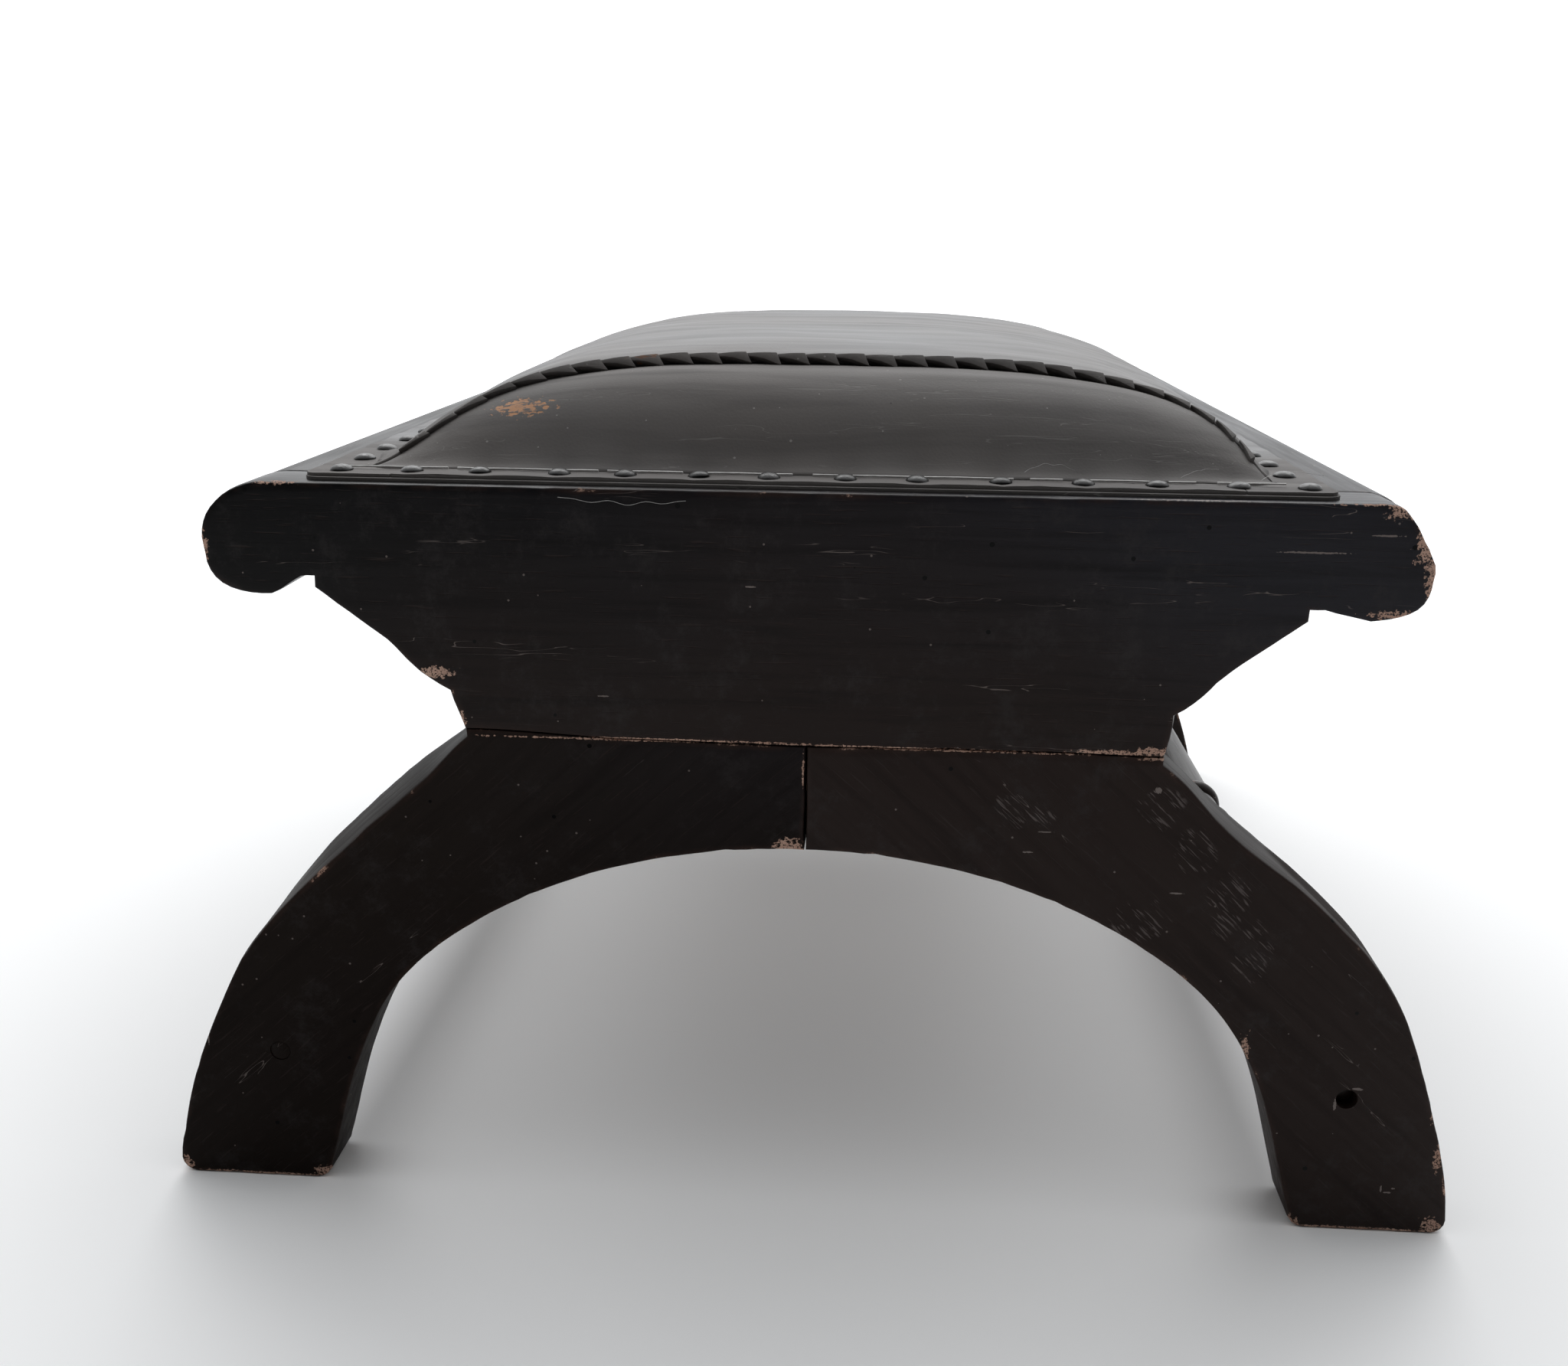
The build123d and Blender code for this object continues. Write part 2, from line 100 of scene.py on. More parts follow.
# %% Values that change over a surface
class Value:
    """One output of a node."""

    def __init__(self, tree, socket):
        self.tree, self.socket = tree, socket

    def maths(self, operation, first, second=None, clamp=False):
        return add_node(self.tree, "ShaderNodeMath", {0: first, 1: second},
                        operation=operation, use_clamp=clamp)[0]

    def __add__(self, other):
        return self.maths("ADD", self, other)

    def __sub__(self, other):
        return self.maths("SUBTRACT", self, other)

    def __rsub__(self, other):
        return self.maths("SUBTRACT", other, self)

    def __mul__(self, other):
        return self.maths("MULTIPLY", self, other)

    def __abs__(self):
        return self.maths("ABSOLUTE", self)

    def below(self, other):
        return self.maths("LESS_THAN", self, other)

    def or_more(self, other):
        return self.maths("MAXIMUM", self, other)

    def clamped(self):
        return self.maths("ADD", self, 0, clamp=True)

    def step(self, low, high, least=0, most=1):
        """Smooth step from least below low to most above high."""
        return add_node(self.tree, "ShaderNodeMapRange", {
            "Value": self, "From Min": low, "From Max": high, "To Min": least, "To Max": most},
            interpolation_type="SMOOTHSTEP")["Result"]

# %% [markdown]
# ### Adding a node
# An input of a node is either a plain value or the output that feeds it. One function sets both,
# so a node and all its inputs are written down in one go.

# %% Adding a node
class Outputs:
    """The outputs of a node, by name or number."""

    def __init__(self, tree, sockets):
        self.tree, self.sockets = tree, sockets

    def __getitem__(self, key):
        return Value(self.tree, self.sockets[key])


def put(value, socket):
    """Sets a socket to a plain value, or links it to one that changes over the surface."""
    if isinstance(value, Value):
        value.tree.links.new(value.socket, socket)
    elif socket.type == "RGBA":
        socket.default_value = (*value, 1)
    elif value is not None:
        socket.default_value = value


def add_node(tree, kind, inputs, **settings):
    made = tree.nodes.new(kind)
    for key, value in settings.items():
        setattr(made, key, value)
    for key, value in inputs.items():
        put(value, made.inputs[key])
    return Outputs(tree, made.outputs)


# %% [markdown]
# ### Nodes used again and again
# A few kinds of node turn up in nearly every finish: cloudy noise, sums with places, and a mix of
# two colours. A new material gives its place on the piece, in metres, and its Principled shader,
# and the finish is fed to that shader at the end.

# %% Common nodes
def cloudy(place, **inputs):
    return add_node(place.tree, "ShaderNodeTexNoise", {"Vector": place, **inputs})["Fac"]


def vector_maths(operation, first, second=None):
    return add_node(first.tree, "ShaderNodeVectorMath", {0: first, 1: second}, operation=operation)


def apart(place):
    parts = add_node(place.tree, "ShaderNodeSeparateXYZ", {"Vector": place})
    return parts["X"], parts["Y"], parts["Z"]


def turned(place, degrees):
    """The same place, turned about Y."""
    return add_node(place.tree, "ShaderNodeMapping", {
        "Vector": place, "Rotation": (0, math.radians(degrees), 0)})["Vector"]


def blend(share, first, second):
    """Mixes two colours; share is the part of the second."""
    return add_node(share.tree, "ShaderNodeMix", {0: share, 6: first, 7: second},
                    data_type="RGBA")[2]


def layered(colour, layers):
    """Lays further colours over the first, each as (share, colour)."""
    for share, tint in layers:
        colour = blend(share, colour, tint)
    return colour


def new_material(name):
    material = bpy.data.materials.new(name)
    material.use_nodes = True
    tree = material.node_tree
    place = add_node(tree, "ShaderNodeTexCoord", {})["Object"]
    return material, tree.nodes["Principled BSDF"], place


def finish(shader, colour, roughness, height=None, strength=0.4, depth=0.6, specular=0.5,
           metallic=0):
    """Feeds a shader. The height gives bumps that look as deep as depth, in millimetres."""
    for name, value in (("Base Color", colour), ("Roughness", roughness),
                        ("Specular IOR Level", specular), ("Metallic", metallic)):
        put(value, shader.inputs[name])
    if height is not None:
        bump = add_node(height.tree, "ShaderNodeBump", {
            "Height": height, "Strength": strength, "Distance": depth * mm})
        put(bump["Normal"], shader.inputs["Normal"])


# %% [markdown]
# ## Floor and studio light
# The stool stands on a plain pale sheet. Black wood and leather show almost nothing but what they
# mirror, so the light matters more than their colour: a wide window behind and above the stool
# greys the top faces, and the side towards the camera is kept dim, so the front faces stay black.
# The floor glows a little further back, so that it meets the pale sky without a dark line.

# %% Floor and light
def mesh_of(bm, name):
    """Makes a bmesh a mesh and frees it."""
    mesh = bpy.data.meshes.new(name)
    bm.to_mesh(mesh)
    bm.free()
    return mesh


floor_bm = bmesh.new()
bmesh.ops.create_grid(floor_bm, x_segments=8, y_segments=8, size=9)
floor = add_object("floor", mesh_of(floor_bm, "floor"))
floor_paint, shader, place = new_material("pale_floor")
finish(shader, (0.9, 0.9, 0.9), 0.9, specular=0.1)
put(apart(place)[1].step(0.2, 3.0), shader.inputs["Emission Color"])
put(0.6, shader.inputs["Emission Strength"])
floor.data.materials.append(floor_paint)

sky_brightest = (0, 0.8, 0.6)
scene.world = bpy.data.worlds.new("studio")
scene.world.use_nodes = True
sky = scene.world.node_tree
direction = add_node(sky, "ShaderNodeTexCoord", {})["Generated"]
behind = vector_maths("DOT_PRODUCT", direction, sky_brightest)["Value"]
put((0.97, 0.985, 1.0), sky.nodes["Background"].inputs["Color"])
put(behind.step(-0.3, 0.8, 0.05, 1.4), sky.nodes["Background"].inputs["Strength"])

window_data = bpy.data.lights.new("window", "AREA")
window_data.shape, window_data.energy = "RECTANGLE", 54
window_data.size, window_data.size_y = 3.4, 1.6
window = add_object("window", window_data)
window.location = (0.0, 2.0, 2.3)
window.rotation_euler = (math.radians(-42), 0, 0)
print("floor, sky and one window")

# %% [markdown]
# ## Shared surface effects
# Old ebonised wood and old leather share a few effects: long grain, small holes, scratches, pale
# dust and worn spots. Each is a node group, built once, so every material can use it with its own
# values. They read object coordinates in metres, so a pattern keeps its real size on each piece.

# %% Node group helpers
def open_group(name, **inputs):
    """Starts a node group. Gives it and its inputs; a tuple makes a vector, a number a float."""
    group = bpy.data.node_groups.new(name, "ShaderNodeTree")
    for label, value in {"Vector": (0, 0, 0), **inputs}.items():
        kind = "NodeSocketVector" if isinstance(value, tuple) else "NodeSocketFloat"
        socket = group.interface.new_socket(name=label, in_out="INPUT", socket_type=kind)
        socket.default_value = value
    return group, add_node(group, "NodeGroupInput", {})


def close_group(group, **results):
    for label in results:
        group.interface.new_socket(name=label, in_out="OUTPUT", socket_type="NodeSocketFloat")
    add_node(group, "NodeGroupOutput", results)
    print("group", group.name)


def effect(group, place, **inputs):
    """Uses a node group at a place."""
    return add_node(place.tree, "ShaderNodeGroup", {"Vector": place, **inputs}, node_tree=group)


# %% [markdown]
# ### Grain
# Wood fibres run one way, so the noise is stretched: the pattern is squeezed across the fibres and
# left long along them. Fine open pores are a second, thinner noise.

# %% Grain group
grain_group, given = open_group("wood_grain", Stretch=(12, 120, 120), Detail=5)
stretched = vector_maths("MULTIPLY", given["Vector"], given["Stretch"])[0]
streaks = cloudy(stretched, Scale=1.4, Detail=given["Detail"], Distortion=0.4)
pores = cloudy(stretched, Scale=7, Detail=3).step(0.6, 0.72)
close_group(grain_group, Streaks=streaks, Pores=pores)

# %% [markdown]
# ### Holes and specks
# Beetles have left round holes about a millimetre wide. Voronoi cells give one point each, and a
# second random value keeps only a few of them, so they lie far apart and out of line.

# %% Speck group
speck_group, given = open_group("specks", Scale=60, Size=0.05, Kept=0.1)
cells = add_node(speck_group, "ShaderNodeTexVoronoi", {
    "Vector": given["Vector"], "Scale": given["Scale"]})
chance = add_node(speck_group, "ShaderNodeSeparateColor", {"Color": cells["Color"]})
kept = chance[0].below(given["Kept"])
wide = given["Size"] * (chance[1] + 0.5)
inside = cells["Distance"].below(wide)
rim = cells["Distance"].below(wide * 1.6)
close_group(speck_group, Specks=inside * kept, Rims=(rim - inside) * kept)

# %% [markdown]
# ### Scratches
# A scratch is a short thin line. Where a long stretched noise passes through its middle value it
# draws hairlines that all run one way, and a second noise breaks them into short lengths.

# %% Scratch group
scratch_group, given = open_group("scratches", Stretch=(30, 400, 400), Amount=0.5, Width=0.014)
stretched = vector_maths("MULTIPLY", given["Vector"], given["Stretch"])[0]
broader = vector_maths("MULTIPLY", stretched, (0.3, 0.3, 0.3))[0]
lines = cloudy(stretched, Scale=1, Detail=1, Distortion=0.2)
thin = 1 - abs(lines - 0.5).step(0.002, given["Width"])
least_kept = 0.72 - given["Amount"] * 0.22
broken = (cloudy(broader, Scale=1, Detail=2) - least_kept).step(0, 0.06)
close_group(scratch_group, Scratches=thin * broken)

# %% [markdown]
# ### Worn spots and painted highlights
# Some marks have one place: a scuff on the leather, a chip at the foot of the crack, the rubbed
# nose, and the painted highlights on the rim of the peg hole. This group fades from a point over a
# given reach and breaks the edge of the mark with noise.

# %% Spot group
spot_group, given = open_group("wear_and_highlight_spot", Middle=(0, 0, 0), Reach=(0.01, 0.01, 0.01), Ragged=0.5,
                               Scale=300)
offset = vector_maths("SUBTRACT", given["Vector"], given["Middle"])[0]
away = vector_maths("LENGTH", vector_maths("DIVIDE", offset, given["Reach"])[0])["Value"]
torn = cloudy(given["Vector"], Scale=given["Scale"], Detail=4)
far = away + (torn - 0.5) * 4 * given["Ragged"]
close_group(spot_group, Mask=1 - far.step(0.75, 1))


def spots(place, marks, ragged, scale):
    """Masks of worn spots and of spots of painted highlight. A mark is its x, y and z and its reach
    along each, in millimetres.
    """
    for mark in marks:
        yield effect(spot_group, place, Middle=Vector(mark[:3]) * mm, Reach=Vector(mark[3:]) * mm,
                     Ragged=ragged, Scale=scale)["Mask"]


# %% [markdown]
# ### Edge wear
# Stain and lacquer rub off the arrises first. Each wooden piece carries an attribute named edge,
# which is 1 on an arris and fades to 0 a few millimetres away. Noise decides where it is rubbed.

# %% Edge wear group
wear_group, given = open_group("edge_wear", Edge=0, Amount=0.4, Scale=60)
patches = cloudy(given["Vector"], Scale=given["Scale"], Detail=6, Roughness=0.65)
reach = given["Edge"] * (patches - 0.5 + given["Amount"])
close_group(wear_group, Bare=reach.step(0.36, 0.44), Rubbed=reach.step(0.1, 0.4))

# %% [markdown]
# ## Ebonised wood
# The frame is a dark hardwood, stained black and lacquered long ago. The stain has gone brown low
# down and near the middle, the grain shows as faint streaks, and bare wood at the arrises is
# pinkish brown. One function makes the finish, because all boards share it. Its choices are the
# direction of the fibres, how worn the piece is, and the places of the marks that are its own.

# %% Ebonised wood
def ebonised(name, stretch, bare_spots=(), pale_marks_and_glints=(), dull_spots=(), crackle=None, lean=0,
             rubbed=0.26, scratched=0.42, streaky=0.7, red=0.5, shine=0.1, rough=0.18,
             brown=(0.0128, 0.0074, 0.0060), left_shade_black=(0.0026, 0.0024, 0.0026)):
    """Black lacquered wood; lean turns the fibres by degrees, and crackle adds wrinkles, raised as
    bumps and painted pale as a highlight.
    """
    material, shader, place = new_material(name)
    fibres = turned(place, lean) if lean else place
    grain = effect(grain_group, fibres, Stretch=stretch)
    holes = effect(speck_group, place, Scale=85, Size=0.055, Kept=0.4)
    dust = effect(speck_group, place, Scale=190, Size=0.07, Kept=0.2)
    lines = effect(scratch_group, fibres, Stretch=[v * (5 if v < 50 else 3) for v in stretch],
                   Amount=scratched)["Scratches"]
    edge = add_node(place.tree, "ShaderNodeAttribute", {}, attribute_name="edge")["Fac"]
    wear = effect(wear_group, place, Edge=edge, Amount=rubbed)
    bare = wear["Bare"]
    for mask in spots(place, bare_spots, 0.7, 620):
        bare = bare.or_more(mask)
    bare = bare * cloudy(place, Scale=1500, Detail=3).step(0.38, 0.5)
    pale = dust["Specks"].or_more(lines)
    # Pale marks are scratches and specks, and on the right leg also painted highlights at the rim
    # of the peg hole.
    for mask in spots(place, pale_marks_and_glints, 0.5, 900):
        pale = pale.or_more(mask * 1.6)
    x, y, z = apart(place)
    warm = cloudy(place, Scale=5, Detail=2) + (1.5 + red) - z * 8 - abs(x + 0.03) * 2.2
    bloom = cloudy(place, Scale=48, Detail=8, Roughness=0.78).step(0.5, 0.72)
    raw = blend(grain["Streaks"], (0.22, 0.105, 0.070), (0.65, 0.45, 0.355))
    layers = [
        (warm.step(0, 0.9), brown),
        (grain["Streaks"].step(0.45, 0.75) * streaky, (0.0030, 0.0024, 0.0024)),
        (grain["Pores"] * 0.5, (0.026, 0.018, 0.016)),
        (bloom * 0.5, (0.028, 0.0245, 0.0245)),
        (wear["Rubbed"] * 0.5, (0.034, 0.019, 0.015)),
        ((pale * 0.75).clamped(), (0.15, 0.125, 0.115)),
        (bare * 0.92, raw),
        (holes["Specks"], (0.001, 0.001, 0.001))]
    dull = grain["Streaks"] * 0.34 + rough
    for mask in spots(place, dull_spots, 0.1, 60):
        dull = dull + mask * 0.35
    height = (grain["Streaks"] * 0.6 - grain["Pores"] * 0.2 - lines * 0.3
              - holes["Specks"] * 2 + holes["Rims"] * 0.5 - bare * 0.7)
    if crackle:
        ridge_bumps_and_highlights = crackle(place)
        # Painted highlight: the wrinkle ridges are painted pale, where their tops would catch the
        # light.
        layers.append((ridge_bumps_and_highlights * 0.5, (0.15, 0.126, 0.12)))
        height = height + ridge_bumps_and_highlights * 2.2
    # The base black runs from darker on the left to lighter on the right: painted shade on the left
    # side of the stool and painted light on the right.
    right_lit_black = (0.0150, 0.0144, 0.0180)
    stain = layered(blend(x.step(-0.22, 0.2), left_shade_black, right_lit_black), layers)
    finish(shader, stain, (dull + bare * 0.4).clamped(), height, specular=shine)
    return material

# %% [markdown]
# ### Wood of the boards
# The fibres run across the stool in boards and legs, and along it in rails and stretchers. The
# front board has marks of its own: bared wood at its right nose, along the joint and at the left,
# and a few pale scratches.

# %% Wood of the boards
ACROSS = (9, 160, 160)
ALONG = (160, 9, 160)
front_board_wood = ebonised(
    "front_board_wood", ACROSS, rubbed=0.2, streaky=0.5, bare_spots=[
        (190, -260, 280.6, 26, 1.6, 1.3), (198, -259, 277.6, 9, 2, 3),
        (204.5, -259, 268, 3.6, 2, 10), (208.4, -259, 256, 3, 2, 9),
        (197, -259, 242.5, 10, 2, 1.6), (-132, -259.5, 213, 7, 2, 2.2),
        (-186, -259.5, 280.2, 9, 2, 1.2), (-212.5, -259.5, 257, 1.6, 2, 5),
        (108, -260, 190.8, 16, 2, 0.9), (122, -259.5, 191.4, 8, 3, 1.7),
        (-60, -260, 190.4, 66, 2, 0.35), (40, -260, 190, 62, 2, 0.35),
        (-124, -259.5, 194, 1.6, 2, 5)],
    pale_marks_and_glints=[
        (168, -260, 263.4, 12, 1, 0.35), (192, -260, 269.6, 5, 1, 0.35),
        (-20, -260, 247, 2, 1, 0.3), (128, -259.4, 280.4, 26, 2, 0.7),
        (-72, -260, 206, 2, 1, 0.3)])
back_board_wood = ebonised("back_board_wood", ACROSS, rubbed=0.3)
rail_wood = ebonised("rail_wood", ALONG)
stretcher_wood = ebonised("stretcher_wood", ALONG, rubbed=0.3, shine=0.2)
print("ebonised wood ready for boards, rails and stretchers")

# %% [markdown]
# ### Crackled lacquer
# On the right front leg the lacquer has dried into raised wrinkles that run down the slope. A noise
# is turned with a Mapping node and stretched along the slope, so that its highest parts are short
# strokes. Worn spots keep the strokes in a band down the leg and in two small patches. The strokes
# are raised as bumps and also painted pale, which is a painted highlight along each wrinkle.

# %% Wood of the legs
wrinkle_spots = [
    (126, -260, 172, 9, 30, 10), (139, -260, 155, 8, 30, 13), (152, -260, 135, 8, 30, 13),
    (164, -260, 115, 7, 30, 12), (122, -260, 126, 12, 30, 9), (78, -260, 167, 11, 30, 7)]
wrinkle_slope, wrinkle_stretch = 46, (1250, 300, 105)


def wrinkles(place):
    drawn_out = vector_maths("MULTIPLY", turned(place, wrinkle_slope), wrinkle_stretch)[0]
    strokes = cloudy(drawn_out, Scale=1, Detail=3, Distortion=0.5)
    masks = spots(place, wrinkle_spots, 0.4, 120)
    band = next(masks)
    for mask in masks:
        band = band.or_more(mask)
    return band * strokes.step(0.55, 0.62)


right_leg_wood = ebonised(
    "right_leg_wood", ACROSS, crackle=wrinkles, lean=-42, scratched=0.2, streaky=0.25, red=0.9,
    shine=0.14, rough=0.4, brown=(0.0146, 0.0078, 0.0060),
    dull_spots=[(190, -240, 120, 46, 18, 36)],
    bare_spots=[
        (241, -259, 3, 4, 2, 5), (189, -259, 2, 4, 2, 3), (122, -259.5, 189.2, 6, 3, 1.1),
        (40, -260, 189.6, 60, 2, 0.4), (216, -259.8, 0.8, 30, 2, 0.9), (164, -259.6, 73, 2, 2, 9),
        (236.5, -259.6, 52, 1.6, 2, 4), (239.5, -259.6, 33, 1.6, 2, 6)],
    pale_marks_and_glints=[
        (124.3, -260, 177.2, 1.3, 1, 1.3), (134, -260, 138, 3, 1, 0.35),
        # The two marks at the peg hole's upper right and lower left rim are painted highlights.
        (207, -260, 61.5, 2.2, 1, 0.6), (199.4, -260, 54.5, 0.6, 1, 2.6),
        (86, -260, 160, 3, 1, 0.25), (80, -260, 152, 2, 1, 0.35), (220.6, -260, 19, 0.4, 1, 1.5),
        (223, -260, 17.6, 1.5, 1, 0.35), (225, -260, 19.4, 0.8, 1, 0.4)])
# The left leg gets a darker brown, and less of it, than the right leg: painted shade on the left
# side of the stool.
left_leg_wood = ebonised(
    "left_leg_wood", ACROSS, lean=42, scratched=0.2, streaky=0.25, red=-0.2, shine=0.04,
    rough=0.34, brown=(0.0084, 0.0054, 0.0042), left_shade_black=(0.0140, 0.0100, 0.0078),
    bare_spots=[
        (-5.5, -260, 150.6, 6, 2, 3), (-247, -259, 3, 3, 2, 4), (-190, -259, 3, 5, 2, 3),
        (-60, -260, 189.8, 62, 2, 0.4), (-1, -260, 180, 0.4, 2, 7),
        (-216, -259.8, 0.8, 30, 2, 0.8)],
    pale_marks_and_glints=[(-232, -260, 62, 0.3, 1, 4)])
back_leg_wood = ebonised("back_leg_wood", ACROSS, rubbed=0.3, red=0)
print("leg wood ready")

# %% [markdown]
# ## Drawing an outline with a moving point
# Boards, legs and rails are flat pieces sawn to an outline. A single point is drawn along: a line
# extrudes it, and an arc spins it about a centre. The stretchers and nails start the same way.

# %% Outline tools
weld = 0.05 * mm


def only(kind, geometry):
    return [item for item in geometry if isinstance(item, kind)]


def line_through(bm, places, point=None):
    """Extrudes a point from place to place, in millimetres."""
    for place in places:
        if point is None:
            point = bm.verts.new()
        else:
            point = bmesh.ops.extrude_vert_indiv(bm, verts=[point])["verts"][0]
        point.co = [value * mm for value in place]
    return point


def outline(path):
    """Draws x and z: two numbers are a line to a place, and four an arc round it, in degrees and
    steps."""
    bm, point = bmesh.new(), None
    for x, z, *arc in path:
        if arc:
            made = bmesh.ops.spin(bm, geom=[point], cent=(x * mm, 0, z * mm), axis=(0, 1, 0),
                                  angle=math.radians(arc[0]), steps=arc[1], use_duplicate=False)
            point = only(BMVert, made["geom_last"])[0]
        else:
            point = line_through(bm, [(x, 0, z)], point)
    return bm


# %% [markdown]
# ### From an outline to a board
# The closed line is filled and given its thickness, with a ring of faces near each arris. The
# arrises are rounded with the bevel operator, as a sander would do it, and their places are kept,
# so that the wear can find them later.

# %% Board tools
arris_round, ring_width = 1.1, 2.4


def rounded(bm, geometry, offset, segments=2, affect="EDGES", **more):
    return bmesh.ops.bevel(bm, geom=geometry, offset=offset, segments=segments, profile=0.5,
                           affect=affect, material=-1, **more)


def thicken(bm, y_front, y_back):
    """Makes the outline a board, and gives back a tree of the places of its arrises."""
    bmesh.ops.remove_doubles(bm, verts=bm.verts[:], dist=weld)
    for edge in [e for e in bm.edges if e.calc_length() > 4.5 * mm]:
        bmesh.ops.subdivide_edges(bm, edges=[edge], cuts=int(edge.calc_length() / (4 * mm)))
    cap = bmesh.ops.contextual_create(bm, geom=bm.edges[:])["faces"]
    bmesh.ops.translate(bm, verts=bm.verts[:], vec=(0, y_front * mm, 0))
    for layer, reach in enumerate((ring_width, y_back - y_front - 2 * ring_width, ring_width)):
        made = bmesh.ops.extrude_face_region(bm, geom=cap)["geom"]
        if layer:
            bmesh.ops.delete(bm, geom=cap, context="FACES_ONLY")
        bmesh.ops.translate(bm, verts=only(BMVert, made), vec=(0, reach * mm, 0))
        cap = only(BMFace, made)
    bmesh.ops.recalc_face_normals(bm, faces=bm.faces[:])
    rims = {e for f in bm.faces if len(f.verts) > 6 for e in f.edges}
    marks = kdtree.KDTree(3 * len(rims))
    for index, edge in enumerate(rims):
        ends = [vert.co.copy() for vert in edge.verts]
        for where in (*ends, (ends[0] + ends[1]) / 2):
            marks.insert(where, index)
    marks.balance()
    rounded(bm, list(rims), arris_round * mm, 3, offset_type="OFFSET", clamp_overlap=True)
    ends = sorted(bm.faces, key=lambda f: -len(f.verts))[:2]
    bmesh.ops.inset_region(bm, faces=ends, thickness=ring_width * mm, use_even_offset=True)
    return marks


# %% [markdown]
# ### Made by hand
# Nothing here is quite straight. The arrises are dented and chipped, the outline wanders where the
# saw did, and a glued joint is tighter than a free arris.

# %% Hand work
seat_top, joint_height, half_length, thickness = 280, 190, 260, 26


def wear_arrises(bm, marks, seed, chip=0.5):
    """Writes the edge attribute and dents the arrises a little, more where noise makes a chip."""
    layer = bm.verts.layers.float.new("edge")
    bm.normal_update()
    for vert in bm.verts:
        away = marks.find(vert.co)[2] / mm
        near = max(0.0, 1.0 - max(0.0, away - 1.2) / 1.2)
        vert[layer] = near
        where = vert.co * 90 + Vector((seed, 0, seed))
        dent = 0.16 + 0.16 * noise.noise(where * 2) + chip * max(0.0, noise.noise(where) - 0.28) * 3
        vert.co -= vert.normal * near * max(0.0, dent) * mm


def sawn_by_hand(bm, moves):
    """Soft moves in the plane of a board, in millimetres: x, z, reach, dx, dz. Two more numbers say
    how much of the move the outer face takes and how much the inner one."""
    for vert in bm.verts:
        depth = (half_length - abs(vert.co.y) / mm) / thickness
        shift = Vector((0, 0, 0))
        for x, z, reach, dx, dz, outer, inner in moves:
            away = math.hypot(vert.co.x / mm - x, vert.co.z / mm - z) / reach
            if away < 1:
                taken = outer + (inner - outer) * depth
                shift += Vector((dx, 0, dz)) * (1 - away * away) ** 2 * taken
        vert.co += shift * mm


def close_up(bm, axis, place, reach=1.4, kept=0.4):
    """Makes the rounded arrises along a glued joint tighter, so the groove between them is thin."""
    for vert in bm.verts:
        away = vert.co[axis] - place * mm
        if abs(away) < reach * mm:
            vert.co[axis] = place * mm + away * kept


def flip(bm, x, y):
    """Mirrors a piece where a number is -1. Its faces still look outwards."""
    bmesh.ops.scale(bm, vec=(x, y, 1), verts=bm.verts[:])
    if x * y < 0:
        bmesh.ops.reverse_faces(bm, faces=bm.faces[:])


# %% [markdown]
# ### A finished piece
# Each mesh becomes an object of the stool. It takes its finish from a slot, and it stands in for
# the measured solid that has the same name.

# %% New piece
def new_piece(bm, name, material, smooth_below=40):
    mesh = mesh_of(bm, name)
    mesh.materials.append(material)
    for polygon in mesh.polygons:
        polygon.use_smooth = True
    mesh.set_sharp_from_angle(angle=math.radians(smooth_below))
    piece = add_object(name, mesh)
    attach(piece, "root")
    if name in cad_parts:
        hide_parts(name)
    print(name, len(mesh.polygons), "faces")
    return piece


# %% [markdown]
# ## End boards
# Each end board is one wide plank. Its top corners end in round noses that follow the rails, a
# notch is cut under each nose, and the sides slope in to a narrow foot that meets the legs. The
# front one was sawn by eye, so soft moves of a few millimetres make its left side differ from its
# right, and its right nose is rubbed flatter.

# %% End boards
nose_x, nose_z = 190, 260
round_nose = (nose_x, nose_z, 180, 22)
rubbed_x, rubbed_z, rubbed_reach = 203, 262, 26
front_moves = [
    (-212, 260, 30, -3.4, 0, 1, 1), (-172, 242, 18, -3.2, 2.4, 1, 1),
    (174, 242, 18, -1.6, -1.2, 1, 1), (126, 190, 34, 3.2, -0.6, 1, 1),
    (-122, 190, 60, 0, 2.2, 1, 1), (0, 190, 60, 0, -0.6, 1, 1), (-205, 243, 16, -3, -1.6, 1, 1),
    (-134, 207, 25, -4.6, -1, 1, 1), (208, 272, 16, -3.3, -0.5, 1, 1),
    (206, 243, 14, 2.6, -0.6, 1, 1), (135, 206, 22, 2.4, -0.4, 1, 1)]


def end_board(name, end, material, seed):
    bm = outline([(0, seat_top), (nose_x, seat_top), round_nose, (176, 244.5), (171, 244.5),
                  (171, 240.5), (124.5, 205), (122.5, joint_height), (0, joint_height)])
    bmesh.ops.mirror(bm, geom=bm.verts[:] + bm.edges[:], axis="X", merge_dist=weld)
    marks = thicken(bm, -half_length, thickness - half_length)
    wear_arrises(bm, marks, seed)
    close_up(bm, 2, joint_height)
    flip(bm, 1, -end)
    if end < 0:
        sawn_by_hand(bm, front_moves)
        for vert in bm.verts:
            away = Vector((vert.co.x / mm - rubbed_x, vert.co.z / mm - rubbed_z)).length
            if away < rubbed_reach and vert.co.x > nose_x * mm:
                rub = 0.8 + noise.noise(vert.co * 160)
                vert.co.x -= (1.2 - away / rubbed_reach) * mm * rub
    new_piece(bm, name, material)


end_board("front_end_board", -1, front_board_wood, 3)
end_board("rear_end_board", 1, back_board_wood, 11)

# %% [markdown]
# ## Legs
# Every end frame has two legs that meet in the middle. The shoulder slopes down from the joint and
# rounds over the haunch until it stands upright at the toe, and the inside is a flat arc that
# tightens into the foot. The old glue has let go at the middle, so the seam opens downwards, and
# the crown of the front arch hangs a little.

